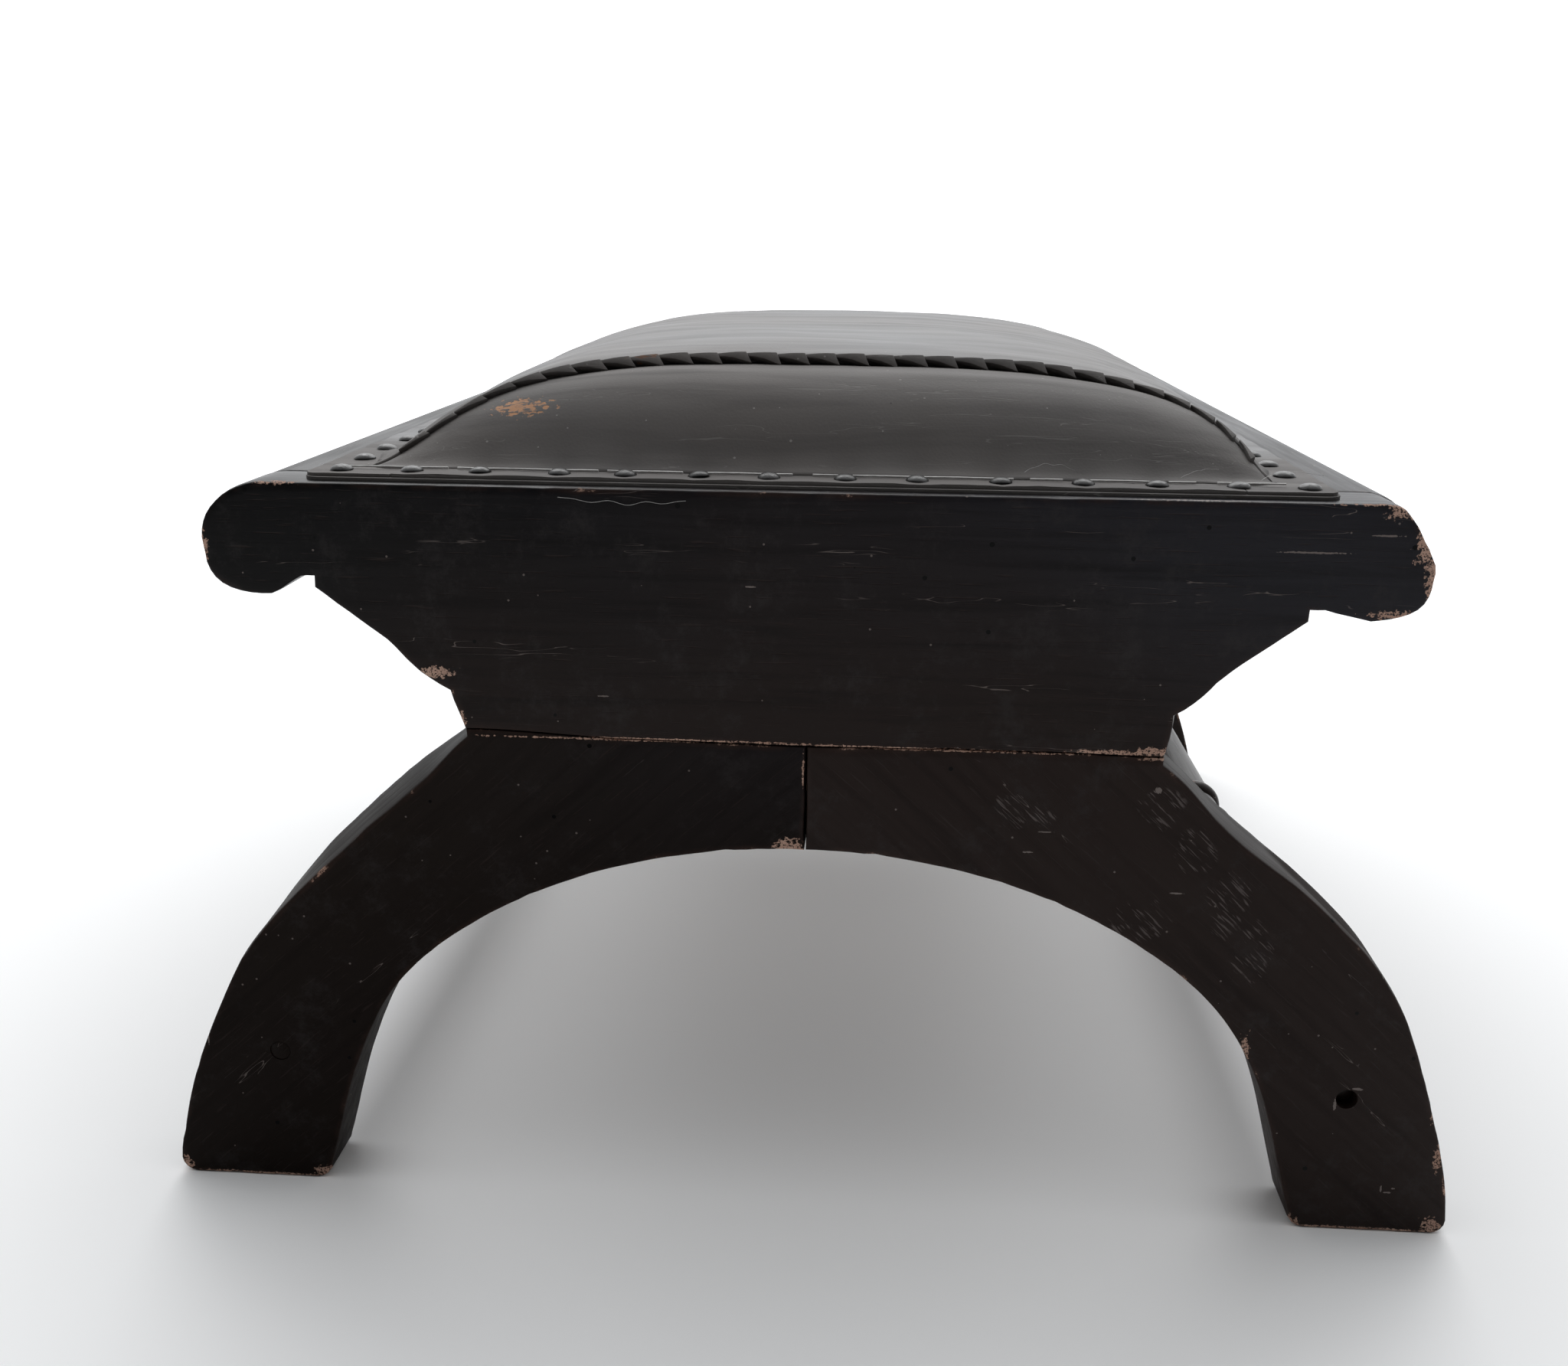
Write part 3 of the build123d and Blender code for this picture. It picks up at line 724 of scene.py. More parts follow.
# %% Outline of a leg
seam_gap = 0.15
leg_foot, leg_top = 6, joint_height - seam_gap
leg_path = [
    (seam_gap, 152), (0, -73.95, 36.661, 34), (61.059, 8.084, 41.245, 22),
    (188, leg_foot), (194, leg_foot, -90, 4), (241, 0), (241, leg_foot, -90, 4),
    (75.955, leg_foot, -51.816, 36), (122.5, 187), (122.5, leg_top), (seam_gap, leg_top),
    (seam_gap, 152)]
left_leg_moves = [
    (-232, 84, 78, 6.2, 0, 1, 1), (-184, 132, 56, 6, -1.5, 1, 0.35),
    (-146, 170, 30, 2.5, -1.5, 1, 0), (-158, 160, 58, -3.2, 0.8, 0, 1),
    (-178, 46, 60, 2.6, 0, 1, 1), (-246, 4, 22, -2.2, 0, 1, 1)]
right_leg_moves = [
    (236, 62, 66, -5.2, 0, 1, 1), (190, 130, 60, -3.2, -0.4, 1, 0.8),
    (156, 160, 32, -2.6, -0.8, 1, 0.3), (180, 45, 60, -2.6, 0, 1, 1)]
rear_leg_moves = [
    (-232, 84, 78, 5, 0, 1, 1), (232, 84, 78, -5, 0, 1, 1), (240, 50, 62, -4.5, 0, 1, 1)]
print("leg outline of", len(leg_path), "strokes")

# %% [markdown]
# The two legs of a frame are the same outline, once mirrored. The crack is only wide in the outer
# skin of the wood, and its walls are ragged there.

# %% Legs
crack_edge, crack_skin, crack_top, crack_run = 1.2, 3, 186, 34
droop, droop_reach, droop_height = 2.6, 130, 40


def limited(value):
    return min(1.0, max(0.0, value))


def open_crack(bm):
    for vert in bm.verts:
        low = max(0.0, (crack_top * mm - vert.co.z) / (crack_run * mm))
        if vert.co.x < crack_edge * mm and vert.co.y < (crack_skin - half_length) * mm:
            ragged = 1 + 1.6 * noise.noise(vert.co * 160)
            vert.co.x += (0.13 + 0.2 * low * ragged) * mm
        elif vert.co.x < crack_edge * mm:
            vert.co.x -= 0.12 * mm


def leg(name, side, end, material, seed):
    bm = outline(leg_path)
    marks = thicken(bm, -half_length, thickness - half_length)
    wear_arrises(bm, marks, seed)
    open_crack(bm)
    for vert in bm.verts if end < 0 else ():
        share = limited((joint_height - vert.co.z / mm) / droop_height)
        fade = max(0.0, 1 - (vert.co.x / mm / droop_reach) ** 2) ** 2
        vert.co.z -= droop * share * fade * mm
    close_up(bm, 2, leg_top)
    close_up(bm, 0, seam_gap, kept=0.75)
    flip(bm, side, -end)
    if end > 0:
        sawn_by_hand(bm, rear_leg_moves)
    else:
        sawn_by_hand(bm, front_moves)
        sawn_by_hand(bm, left_leg_moves if side < 0 else right_leg_moves)
    return new_piece(bm, name, material)


corners = {"front_right": (1, -1, right_leg_wood), "front_left": (-1, -1, left_leg_wood),
           "rear_right": (1, 1, back_leg_wood), "rear_left": (-1, 1, back_leg_wood)}
legs = {corner: leg(corner + "_leg", *corners[corner], seed)
        for corner, seed in zip(corners, (5, 8, 14, 17))}

# %% [markdown]
# ## Peg holes
# A peg runs through each foot into the stretcher's tenon. On the right front leg it has sunk, so a
# dark hole shows, and the others stop just under the surface. A short cylinder is cut out of each
# leg with a Boolean, which is applied at once.

# %% Peg holes
peg_x, peg_height, peg_radius = 203.5, 57, 4


def set_in_place(bm, x, y, z, turn=None):
    """Turns a shape about its middle and moves it to a place in millimetres."""
    if turn is not None:
        bmesh.ops.rotate(bm, matrix=turn, verts=bm.verts[:])
    bmesh.ops.translate(bm, verts=bm.verts[:], vec=(x * mm, y * mm, z * mm))


def shape_now(piece):
    """The mesh that the modifiers make of a piece. They are taken off."""
    depsgraph = bpy.context.evaluated_depsgraph_get()
    mesh = bpy.data.meshes.new_from_object(piece.evaluated_get(depsgraph))
    piece.modifiers.clear()
    return mesh


def cut_peg_hole(piece, side, end, depth):
    bm = bmesh.new()
    bmesh.ops.create_cone(bm, cap_ends=True, segments=28, radius1=peg_radius * mm,
                          radius2=peg_radius * 1.01 * mm, depth=2 * depth * mm)
    turn = Matrix.Rotation(math.radians(90 * end), 3, "X")
    set_in_place(bm, side * peg_x, end * half_length, peg_height, turn)
    bmesh.ops.recalc_face_normals(bm, faces=bm.faces[:])
    drill = add_object("drill", mesh_of(bm, "drill"))
    cut = piece.modifiers.new("hole", "BOOLEAN")
    cut.object, cut.solver = drill, "EXACT"
    bpy.context.view_layer.update()
    piece.data = shape_now(piece)
    bpy.data.objects.remove(drill)
    print(piece.name, "bored,", len(piece.data.polygons), "faces")


for corner, (side, end, _) in corners.items():
    cut_peg_hole(legs[corner], side, end, 6 if corner == "front_right" else 0.5)

# %% [markdown]
# ### Pegs
# A peg is a plain cylinder with softened ends. The one that sank is still the wood of the
# stretcher, and the others were stained with their leg.

# %% Pegs
peg_length, under_surface = 34, 0.12


def peg(name, side, end, sunk, material):
    bm = bmesh.new()
    length = peg_length - sunk
    bmesh.ops.create_cone(bm, cap_ends=True, segments=24, radius1=peg_radius * 0.99 * mm,
                          radius2=peg_radius * 0.99 * mm, depth=length * mm)
    rims = [e for e in bm.edges if abs(e.verts[0].co.z - e.verts[1].co.z) < mm]
    rounded(bm, rims, 0.5 * mm)
    middle = end * (half_length - sunk - under_surface - length / 2)
    turn = Matrix.Rotation(math.radians(90), 3, "X")
    set_in_place(bm, side * peg_x, middle, peg_height, turn)
    bm.verts.layers.float.new("edge")  # stays 0, as nothing rubs a peg
    new_piece(bm, name, material)


for corner, (side, end, material) in corners.items():
    sunk, wood = (5, stretcher_wood) if corner == "front_right" else (0, material)
    peg(corner + "_peg", side, end, sunk, wood)

# %% [markdown]
# ## Seat rails
# The rails run from end board to end board and have the same round nose and notch. The ledge
# inside carries the planks.

# %% Seat rails
def seat_rail(name, side, seed):
    bm = outline([(162, seat_top), (nose_x, seat_top), round_nose, (176, 244.5), (150, 244.5),
                  (150, 266), (162, 266), (162, seat_top)])
    inner = half_length - thickness
    marks = thicken(bm, -inner, inner)
    wear_arrises(bm, marks, seed, chip=0.2)
    flip(bm, side, 1)
    new_piece(bm, name, rail_wood)


seat_rail("right_seat_rail", 1, 21)
seat_rail("left_seat_rail", -1, 24)

# %% [markdown]
# ## Turned stretchers
# A stretcher joins the two feet on each side. It was turned on a lathe: a thinner neck at each end,
# a plain body, and three beads between small fillets in the middle. Half of the profile is drawn
# once, mirrored, and spun round the axis.

# %% Stretchers
half_profile = [  # radius, distance from the middle
    (10, half_length - thickness + 1.5), (10.7, 226), (11.6, 214), (12.4, 201), (12.8, 188),
    (12.8, 120), (12.8, 60), (12.75, 42.6), (12.2, 42.4), (11.5, 42), (11.5, 38.6), (12.4, 38.4),
    (14.2, 37.2), (15.2, 35.6), (15.5, 34), (15.2, 32.4), (14.2, 30.8), (12.4, 29.6),
    (11.5, 29.4), (11.5, 25.6), (12.3, 25.4), (12.75, 25.2), (12.8, 24), (12.8, 17), (12.75, 8.9),
    (12.3, 8.7), (11.5, 8.5), (11.5, 4.6), (12.4, 4.4), (14.2, 3.2), (15.2, 1.6), (15.5, 0)]
bead_top = 15


def lathe(bm, axis, steps, close):
    """Spins a profile all the way round."""
    bmesh.ops.spin(bm, geom=bm.verts[:] + bm.edges[:], cent=(0, 0, 0), axis=axis,
                   angle=math.radians(360), steps=steps, use_merge=True, use_duplicate=False)
    bmesh.ops.remove_doubles(bm, verts=bm.verts[:], dist=close * mm)
    bmesh.ops.recalc_face_normals(bm, faces=bm.faces[:])


def stretcher(name, side):
    bm = bmesh.new()
    line_through(bm, [(radius, -y, 0) for radius, y in half_profile])
    bmesh.ops.mirror(bm, geom=bm.verts[:] + bm.edges[:], axis="Y", merge_dist=0.02 * mm)
    lathe(bm, (0, 1, 0), 40, 0.01)
    layer = bm.verts.layers.float.new("edge")
    for vert in bm.verts:
        vert[layer] = 0.9 if math.hypot(vert.co.x, vert.co.z) > bead_top * mm else 0.0
    set_in_place(bm, side * peg_x, 0, peg_height)
    new_piece(bm, name, stretcher_wood, smooth_below=50)


stretcher("right_stretcher", 1)
stretcher("left_stretcher", -1)

# %% [markdown]
# ## Planks and dowels
# Nothing of the plank deck or the dowels is seen in a photograph, and their shape is plain, so the
# measured solids stay and only get a material: raw sawn wood, lighter than the frame.

# %% Raw wood
def raw_wood(name, stretch, light, dark):
    material, shader, place = new_material(name)
    grain = effect(grain_group, place, Stretch=stretch)
    streaks = grain["Streaks"]
    colour = layered(dark, [(streaks, light), (grain["Pores"] * 0.5, dark)])
    finish(shader, colour, streaks * 0.3 + 0.5, streaks, 0.5, 0.8)
    return material


plank_wood = raw_wood("plank_wood", (14, 130, 130), (0.23, 0.14, 0.085), (0.09, 0.05, 0.03))
dowel_stock = raw_wood("dowel_wood", (130, 130, 14), (0.36, 0.24, 0.14), (0.2, 0.12, 0.07))
for name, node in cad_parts.items():
    if name.startswith("seat_plank") or name.endswith("frame_dowels"):
        node.data.materials.clear()
        node.data.materials.append(plank_wood if name.startswith("seat_plank") else dowel_stock)
print("planks and dowels finished")

# %% [markdown]
# ## Leather
# Old black hide: charcoal, browner where hands have polished it, with a fine grain, long faint
# scratches that run across the seat, pale dust, and one tan scuff where the dye is gone. Nobody
# sits on the two ends, so they are duller and paler.

# %% Leather
def leather(name, rough, brown, scuffs=(), scuffed=(0.40, 0.20, 0.095)):
    material, shader, place = new_material(name)
    cloud = cloudy(place, Scale=7, Detail=5)
    ends = abs(apart(place)[1]).step(0.15, 0.19)
    pebbles = add_node(place.tree, "ShaderNodeTexVoronoi", {"Vector": place, "Scale": 900})
    lines = effect(scratch_group, place, Stretch=(24, 420, 420), Amount=0.8)["Scratches"]
    cross = effect(scratch_group, place, Stretch=(60, 460, 460), Amount=0.42)["Scratches"]
    smear = effect(grain_group, place, Stretch=(7, 70, 70), Detail=4)["Streaks"]
    dust = effect(speck_group, place, Scale=210, Size=0.075, Kept=0.3)["Specks"]
    pits = effect(speck_group, place, Scale=120, Size=0.05, Kept=0.25)["Specks"]
    pale = (lines * 0.4).or_more(dust).or_more(cross * 0.7)
    layers = [
        (cloud.step(0.35, 0.7) * brown, (0.075, 0.060, 0.051)),
        (ends * 0.7, (0.100, 0.090, 0.084)),
        (smear.step(0.45, 0.7) * 0.2, (0.010, 0.010, 0.012)),
        (pale * 0.6, (0.27, 0.26, 0.25)),
        (pits, (0.003, 0.003, 0.003))]
    height = pebbles["Distance"] * 0.35 - lines * 0.5 - pits * 1.2 + smear * 0.3
    for mask in spots(place, scuffs, 0.9, 420):
        torn = effect(grain_group, place, Stretch=(150, 800, 800))["Streaks"]
        raw = mask * torn.step(0.37, 0.52)
        layers.append((raw, scuffed))
        height = height - raw * 0.8
    dull = cloud * 0.16 + (rough - 0.08) + ends * 0.26 + (smear - 0.5) * 0.3 + pale * 0.2
    colour = layered((0.034, 0.034, 0.037), layers)
    finish(shader, colour, dull.clamped(), height, 0.35, 0.35, specular=0.42)
    return material


cover_leather = leather("cover_leather", 0.48, 0.65, [(-108, -217, 302, 11, 8, 2.8)])
hide = leather("base_hide", 0.45, 0.3)
lace_leather = leather("lace_leather", 0.42, 0.9, [(-68, -183, 320, 6, 5, 4)], (0.13, 0.06, 0.03))
print("leather ready")

# %% [markdown]
# ## Base leather
# A thin hide lies flat over the planks and rails, just wider than the nailed cover. Its cut edge
# shows as a dark line under the flanges.

# %% Base leather
base_top = seat_top + 1.2
flat_half = 170


def sheet_of(corners, radius, z_low, z_high, cell):
    """A flat sheet with rounded corners, cut into small cells so that it can be shaped."""
    bm = bmesh.new()
    face = bm.faces.new([bm.verts.new((x * mm, y * mm, z_low * mm)) for x, y in corners])
    if face.normal.z < 0:
        face.normal_flip()
    convex = [v for v in face.verts if abs(v.co.x) > flat_half * mm]
    rounded(bm, convex, radius * mm, 4, affect="VERTICES")
    for axis in (0, 1):
        low = min(v.co[axis] for v in bm.verts)
        high = max(v.co[axis] for v in bm.verts)
        count = int((high - low) / (cell * mm))
        for step in range(1, count):
            spot, way = [0, 0, 0], [0, 0, 0]
            spot[axis], way[axis] = low + (high - low) * step / count, 1
            bmesh.ops.bisect_plane(bm, geom=bm.verts[:] + bm.edges[:] + bm.faces[:],
                                   plane_co=spot, plane_no=way, dist=0.01 * mm)
    made = bmesh.ops.extrude_face_region(bm, geom=bm.faces[:])["geom"]
    bmesh.ops.translate(bm, verts=only(BMVert, made), vec=(0, 0, (z_high - z_low) * mm))
    bmesh.ops.recalc_face_normals(bm, faces=bm.faces[:])
    return bm


base_bm = sheet_of([(-178, -255), (178, -255), (178, 253), (-178, 253)], 6, seat_top, base_top, 12)
for vert in base_bm.verts:
    if abs(vert.co.x) > flat_half * mm:
        uneven = 0.5 * mm * (1 + noise.noise(vert.co * 60))
        vert.co.x -= math.copysign(uneven, vert.co.x)
new_piece(base_bm, "base_leather", hide)

# %% [markdown]
# ## The domed seat
# The cushion is long and low. Across, it has short feet, round flanks and a flatter crown. Along,
# it swells quickly from the nailed crease up to the laced seam, and then rises a little to the
# middle.
# One function gives the height of the leather at any place, so panels, lace and nails agree.

# %% Seat shape
dome_half, dome_end, seam_y = 160, 236, 180
foot_height, crown_rise = 1.5, 42.3
crease_top = base_top + foot_height


def ridge_height(y):
    """Height of the middle of the seat above the base leather."""
    away = abs(y)
    seam_rise = 37 if y < 0 else 36
    if away <= seam_y:
        return crown_rise - (crown_rise - seam_rise) * (away / seam_y) ** 2
    share = max(0.0, (dome_end - away) / (dome_end - seam_y))
    return 3 + (seam_rise - 3) * (1 - (1 - share) ** 2.8) ** 1.05


def seat_height(x, y):
    """Height of the leather over the floor. The left flank has been sat softer than the right."""
    away = min(1.0, abs(x) / dome_half)
    flank, softness = (4.2, 0.93) if x < 0 else (3.1, 0.52)
    round_flank = (1 - away ** flank) ** softness
    return base_top + foot_height + (ridge_height(y) - foot_height) * round_flank


def seam_line(x):
    """How far from the middle the seam lies, at x: straight, then bowed to the crease's corner."""
    share = min(abs(x), dome_half) / dome_half
    return seam_y + (231.7 - seam_y) * share ** (3.1 if x < 0 else 8)


print("seat rises to", round(seat_height(0, 0), 1), "mm; seam at",
      round(seat_height(0, -seam_y), 1))

# %% [markdown]
# ## Stuffing
# Under the leather is a firm pad of hair or fibre. It is hidden, but it is still there if a panel
# is taken off, so it has the form of the seat, a little smaller.

# %% Stuffing
stuffing_bm = bmesh.new()
bmesh.ops.create_grid(stuffing_bm, x_segments=60, y_segments=80, size=1)
for vert in stuffing_bm.verts:
    x, y = vert.co.x * (dome_half - 2), vert.co.y * (dome_end - 2.2)
    z = base_top + max(0.4, (seat_height(x, y) - base_top) - 3.6)
    vert.co = (x * mm, y * mm, z * mm)
rim = [e for e in stuffing_bm.edges if e.is_boundary]
made = bmesh.ops.extrude_edge_only(stuffing_bm, edges=rim)["geom"]
for vert in only(BMVert, made):
    vert.co.z = (base_top + 0.05) * mm
bmesh.ops.contextual_create(stuffing_bm, geom=only(BMEdge, made))
bmesh.ops.recalc_face_normals(stuffing_bm, faces=stuffing_bm.faces[:])
stuffing_fibre = raw_wood("stuffing_fibre", (90, 90, 90), (0.30, 0.24, 0.17), (0.16, 0.12, 0.08))
stuffing = new_piece(stuffing_bm, "seat_stuffing", stuffing_fibre)

# %% [markdown]
# ### The pad swells
# A stuffed pad pushes against its skin. The pad is cut into even cells and blown up a little as a
# cloth with pressure, while its foot and the two laced seams are held. No point may move further
# than a set cap. How far each place rose is kept, so that the leather laid over it swells with it.

# %% Swelling
cell_size, swell_frames, swell_cap, seam_reach = 5, 20, 2.4, 7


def hold(piece):
    """Holds the foot of the pad and the seams, in a vertex group."""
    held = piece.vertex_groups.new(name="held")
    for vert in piece.data.vertices:
        x, y, z = (value / mm for value in vert.co)
        at_seam = 1 - min(1.0, abs(abs(y) - seam_line(x)) / seam_reach)
        held.add([vert.index], 1.0 if z < base_top + 2 else 0.9 * at_seam, "REPLACE")


def blow_up(piece):
    """Runs the cloth and gives back the mesh of its last frame."""
    cloth = piece.modifiers.new("swell", "CLOTH")
    settings = cloth.settings
    settings.quality, settings.mass = 6, 0.4
    settings.tension_stiffness = settings.compression_stiffness = 40
    settings.bending_stiffness = 8
    settings.use_pressure, settings.uniform_pressure_force = True, 4
    settings.vertex_group_mass = "held"
    settings.effector_weights.gravity = 0
    cloth.point_cache.frame_start, cloth.point_cache.frame_end = 1, swell_frames
    for frame_number in range(1, swell_frames + 1):
        scene.frame_set(frame_number)
    return shape_now(piece)

# %% [markdown]
# The cloth moves the points of one mesh, so the pad can be compared point by point with what it
# was before. The places of the points go into a tree, which finds the nearest ones quickly.

# %% Letting it swell
def let_swell(piece):
    """Swells the pad and gives back a tree of places and the rise of each."""
    even = piece.modifiers.new("even_cells", "REMESH")
    even.mode, even.voxel_size = "VOXEL", cell_size * mm
    bpy.context.view_layer.update()
    start = piece.data = shape_now(piece)
    hold(piece)
    blown = blow_up(piece)
    places, rises = kdtree.KDTree(len(start.vertices)), []
    for before, after in zip(start.vertices, blown.vertices):
        move = after.co - before.co
        reach = move.length / mm
        if reach > 0:
            move *= swell_cap * math.tanh(reach / swell_cap) / reach
        under = 0 if before.co.z > (base_top + 1) * mm else 1
        places.insert((before.co.x, before.co.y, under), len(rises))
        rises.append(move.z / mm)
        before.co += move
    places.balance()
    scene.frame_set(1)
    piece.vertex_groups.clear()
    smoother = piece.modifiers.new("smoother", "SUBSURF")
    smoother.levels = smoother.render_levels = 1
    print("pad rose by up to", round(max(rises), 2), "mm, mean",
          round(sum(rises) / len(rises), 2), "over", len(rises), "points")
    return places, rises


risen = let_swell(stuffing)

# %% [markdown]
# ## Height of the leather
# Three panels cover the pad: a long one over the middle and down both sides, and one at each end.
# They lie on the swollen pad, are a little uneven, and are pulled into hollows beside the nails.

# %% Height of the leather
nail_xs = [12 + (x - 12) * 1.02 for x in (
    -162.6, -137.8, -114.1, -86.4, -63.6, -38.4, -14.4,
    11.5, 35.8, 63.7, 91.2, 115.6, 142.4, 165.6)]
side_nail_ys = [-245 + 490 / 19 * (index + 1) for index in range(18)]


def ripple(*place):
    return noise.noise(Vector(place))


def rise_at(x, y):
    """How far the pad has risen at a place, from the nearest points of the cloth."""
    if not risen:
        return 0.0
    places, rises = risen
    near = places.find_n((x * mm, y * mm, 0), 8)
    weights = [1 / (1.5 * mm + away) ** 2 for _, _, away in near]
    return sum(w * rises[index] for w, (_, index, _) in zip(weights, near)) / sum(weights)


def between_nails(place, places):
    """0 beside a nail and 1 half way between two."""
    for low_nail, high_nail in zip(places, places[1:]):
        if low_nail <= place <= high_nail:
            return math.sin(math.pi * (place - low_nail) / (high_nail - low_nail))
    return 0.0


def leather_height(x, y):
    """Height of the middle of the seat's skin, with the slow unevenness of the stuffing."""
    z = seat_height(x, y) + rise_at(x, y) - 0.5
    lift = min(1.0, (z - base_top) / 20)
    slow, quick = noise.noise(Vector((x, y, 0)) * 0.018), noise.noise(Vector((x, y, 9)) * 0.05)
    return z + lift * (0.7 * slow + 0.25 * quick)


def pulled_height(x, y):
    """The same with shallow hollows beside the nails."""
    z = leather_height(x, y)
    front = max(0.0, 1 - (dome_end - abs(y)) / 22)
    flank = max(0.0, 1 - (dome_half - abs(x)) / 16)
    z -= 0.9 * front * (1 - between_nails(x, nail_xs)) * min(1.0, (z - base_top) / 4)
    z -= 0.7 * flank * (1 - between_nails(y, side_nail_ys)) * min(1.0, (z - base_top) / 4)
    return z


# %% [markdown]
# ### Long panel
# A panel starts as a flat grid whose points are moved on to the seat, so the leather keeps even
# cells. At a seam its edge turns down into the gap, and at the crease it meets the flange.

# %% Long panel
leather_wall = 1.4


def even_steps(share):
    """Places cells closer together near both edges of a panel."""
    return math.sin(share * math.pi / 2) * 0.6 + share * 0.4


def finish_panel(bm, name):
    bmesh.ops.recalc_face_normals(bm, faces=bm.faces[:])
    if sum(f.normal.z for f in bm.faces) < 0:
        bmesh.ops.reverse_faces(bm, faces=bm.faces[:])
    piece = new_piece(bm, name, cover_leather, smooth_below=180)
    skin = piece.modifiers.new("wall", "SOLIDIFY")
    skin.thickness, skin.offset = leather_wall * mm, -1


long_bm = bmesh.new()
bmesh.ops.create_grid(long_bm, x_segments=110, y_segments=110, size=1)
for vert in long_bm.verts:
    x = even_steps(vert.co.x) * dome_half
    y = even_steps(vert.co.y) * seam_line(x)
    gap = (1 - abs(vert.co.y)) * seam_line(x)
    z = pulled_height(x, y)
    z -= 1.2 * max(0.0, 1 - gap / 2.5) * (abs(x) < 150)
    share = max(0.0, 1 - (1 - abs(vert.co.x)) / 0.07) if abs(y) < 225 else 0.0
    between = between_nails(y, side_nail_ys)
    z += (crease_top + 0.25 + 0.5 * between - z) * share * share
    x += math.copysign((2 + 1.4 * between) * share * share, x) * min(1.0, (225 - abs(y)) / 12)
    z += 0.3 * math.exp(-((gap - 6) / 4) ** 2)
    vert.co = (x * mm, y * mm, z * mm)
finish_panel(long_bm, "long_leather_panel")

# %% [markdown]
# ### End panels
# An end panel runs from the nailed crease up to the seam, and steps down under the lacing.

# %% End panels
seam_step = 2


def lace_size(x):
    """The lace is full in the middle and dwindles where the seam bows down."""
    return 1 - 0.62 * limited((abs(x) - 92) / 44)


def end_panel(name, end):
    bm = bmesh.new()
    bmesh.ops.create_grid(bm, x_segments=120, y_segments=36, size=1)
    for vert in bm.verts:
        x = even_steps(vert.co.x) * dome_half
        run = (vert.co.y + 1) / 2
        y = dome_end + (seam_line(x) - dome_end) * run
        z = pulled_height(x, end * y)
        z -= seam_step * lace_size(x) * run ** 1.5
        share = max(0.0, 1 - run / 0.3) ** 3
        between = between_nails(x, nail_xs)
        z += (crease_top - 0.05 + 0.3 * between - z) * share
        y += (3.6 + 1.4 * between) * share * min(1.0, (dome_half - abs(x)) / 8)
        vert.co = (x * mm, end * y * mm, z * mm)
    finish_panel(bm, name)


end_panel("front_leather_panel", -1)
end_panel("rear_leather_panel", 1)

# %% [markdown]
# ## Flanges
# The leather ends in flat flanges under the nails. Between two nails the flange lifts a little and
# its fold stands up, which gives the scalloped line that is seen along the crease.

# %% Flanges
def flange(name, corners, axis, nails):
    bm = sheet_of(corners, 4, base_top, crease_top, 4)
    for vert in bm.verts:
        place = [value / mm for value in vert.co]
        if place[2] > base_top + 0.7:
            free = between_nails(place[axis], nails)
            place[2] += 0.35 * free - 0.35 + 0.15 * noise.noise(vert.co * 220)
        vert.co = [value * mm for value in place]
    new_piece(bm, name, cover_leather)


end_corners = [(-146, 235), (146, 235), (146, 253), (-146, 253)]
side_corners = [(159, -236.4), (146.4, -236.4), (146.4, -253), (177, -253),
                (177, 252), (146.4, 252), (146.4, 236.4), (159, 236.4)]
for end, word in ((-1, "front"), (1, "rear")):
    flange(word + "_flange", [(x, end * y) for x, y in end_corners], 0, nail_xs)
for side, word in ((-1, "left"), (1, "right")):
    flange(word + "_flange", [(side * x, y) for x, y in side_corners], 1, side_nail_ys)

# %% [markdown]
# ## One tuck of the lace
# A leather thong covers each seam. Every tuck of it is a wedge: narrow where it comes out from
# under the tuck before, and wide where it ends in a clean cut. Its upper side follows the seam and
# its lower side makes the saw teeth. A cube is tapered into that wedge, and its edges are
# rounded.

# %% One tuck
def one_tuck(bm, origin, to_seat, size, length, seed):
    """Adds one wedge. Its x points to its cut end and its y up the seat."""
    width = (5.4 + 1.5 * ripple(seed * 2.3, 5, 0)) * size
    thick = (1.7 + 0.4 * ripple(seed * 1.3, 8, 0)) * (0.5 + 0.5 * size)
    narrow = 1.5 * size
    cube = bmesh.ops.create_cube(bm, size=1)["verts"]
    for vert in cube:
        ahead, outer = vert.co.x + 0.5, 0.5 - vert.co.y
        x = (ahead - 0.5) * length + (2.2 * outer - 0.8) * ahead * size
        y = 0.9 * size - outer * (narrow + (width - narrow) * ahead)
        z = thick * (0.75 + 0.45 * ahead * (1 - 0.4 * outer)) if vert.co.z > 0 else -1.5
        vert.co = (x, y, z)
    edges = list({e for v in cube for e in v.link_edges})
    long_edges = [e for e in edges if abs((e.verts[0].co - e.verts[1].co).x) > 6]
    split = bmesh.ops.subdivide_edges(bm, edges=long_edges, cuts=3)
    fresh = {v for e in edges if e.is_valid for v in e.verts} | set(only(BMVert, split["geom"]))
    for vert in fresh:
        ahead = limited(vert.co.x / length + 0.5)
        if vert.co.z > 0:
            vert.co.z += 0.4 * size * math.sin(math.pi * ahead)
        if vert.co.y < 0:
            vert.co.y += 0.7 * size * math.sin(math.pi * ahead)
    faces = {f for v in fresh for f in v.link_faces}
    rims = list({e for f in faces for e in f.edges if e.calc_face_angle(0) > 0.5})
    made = rounded(bm, rims, 0.34 * size)["faces"]
    for vert in {v for f in made for v in f.verts} | {v for v in fresh if v.is_valid}:
        vert.co = (origin + to_seat @ vert.co) * mm


# %% [markdown]
# ### Along the seam
# The way along a seam is measured in short steps, so that the tucks can be set out evenly on it.

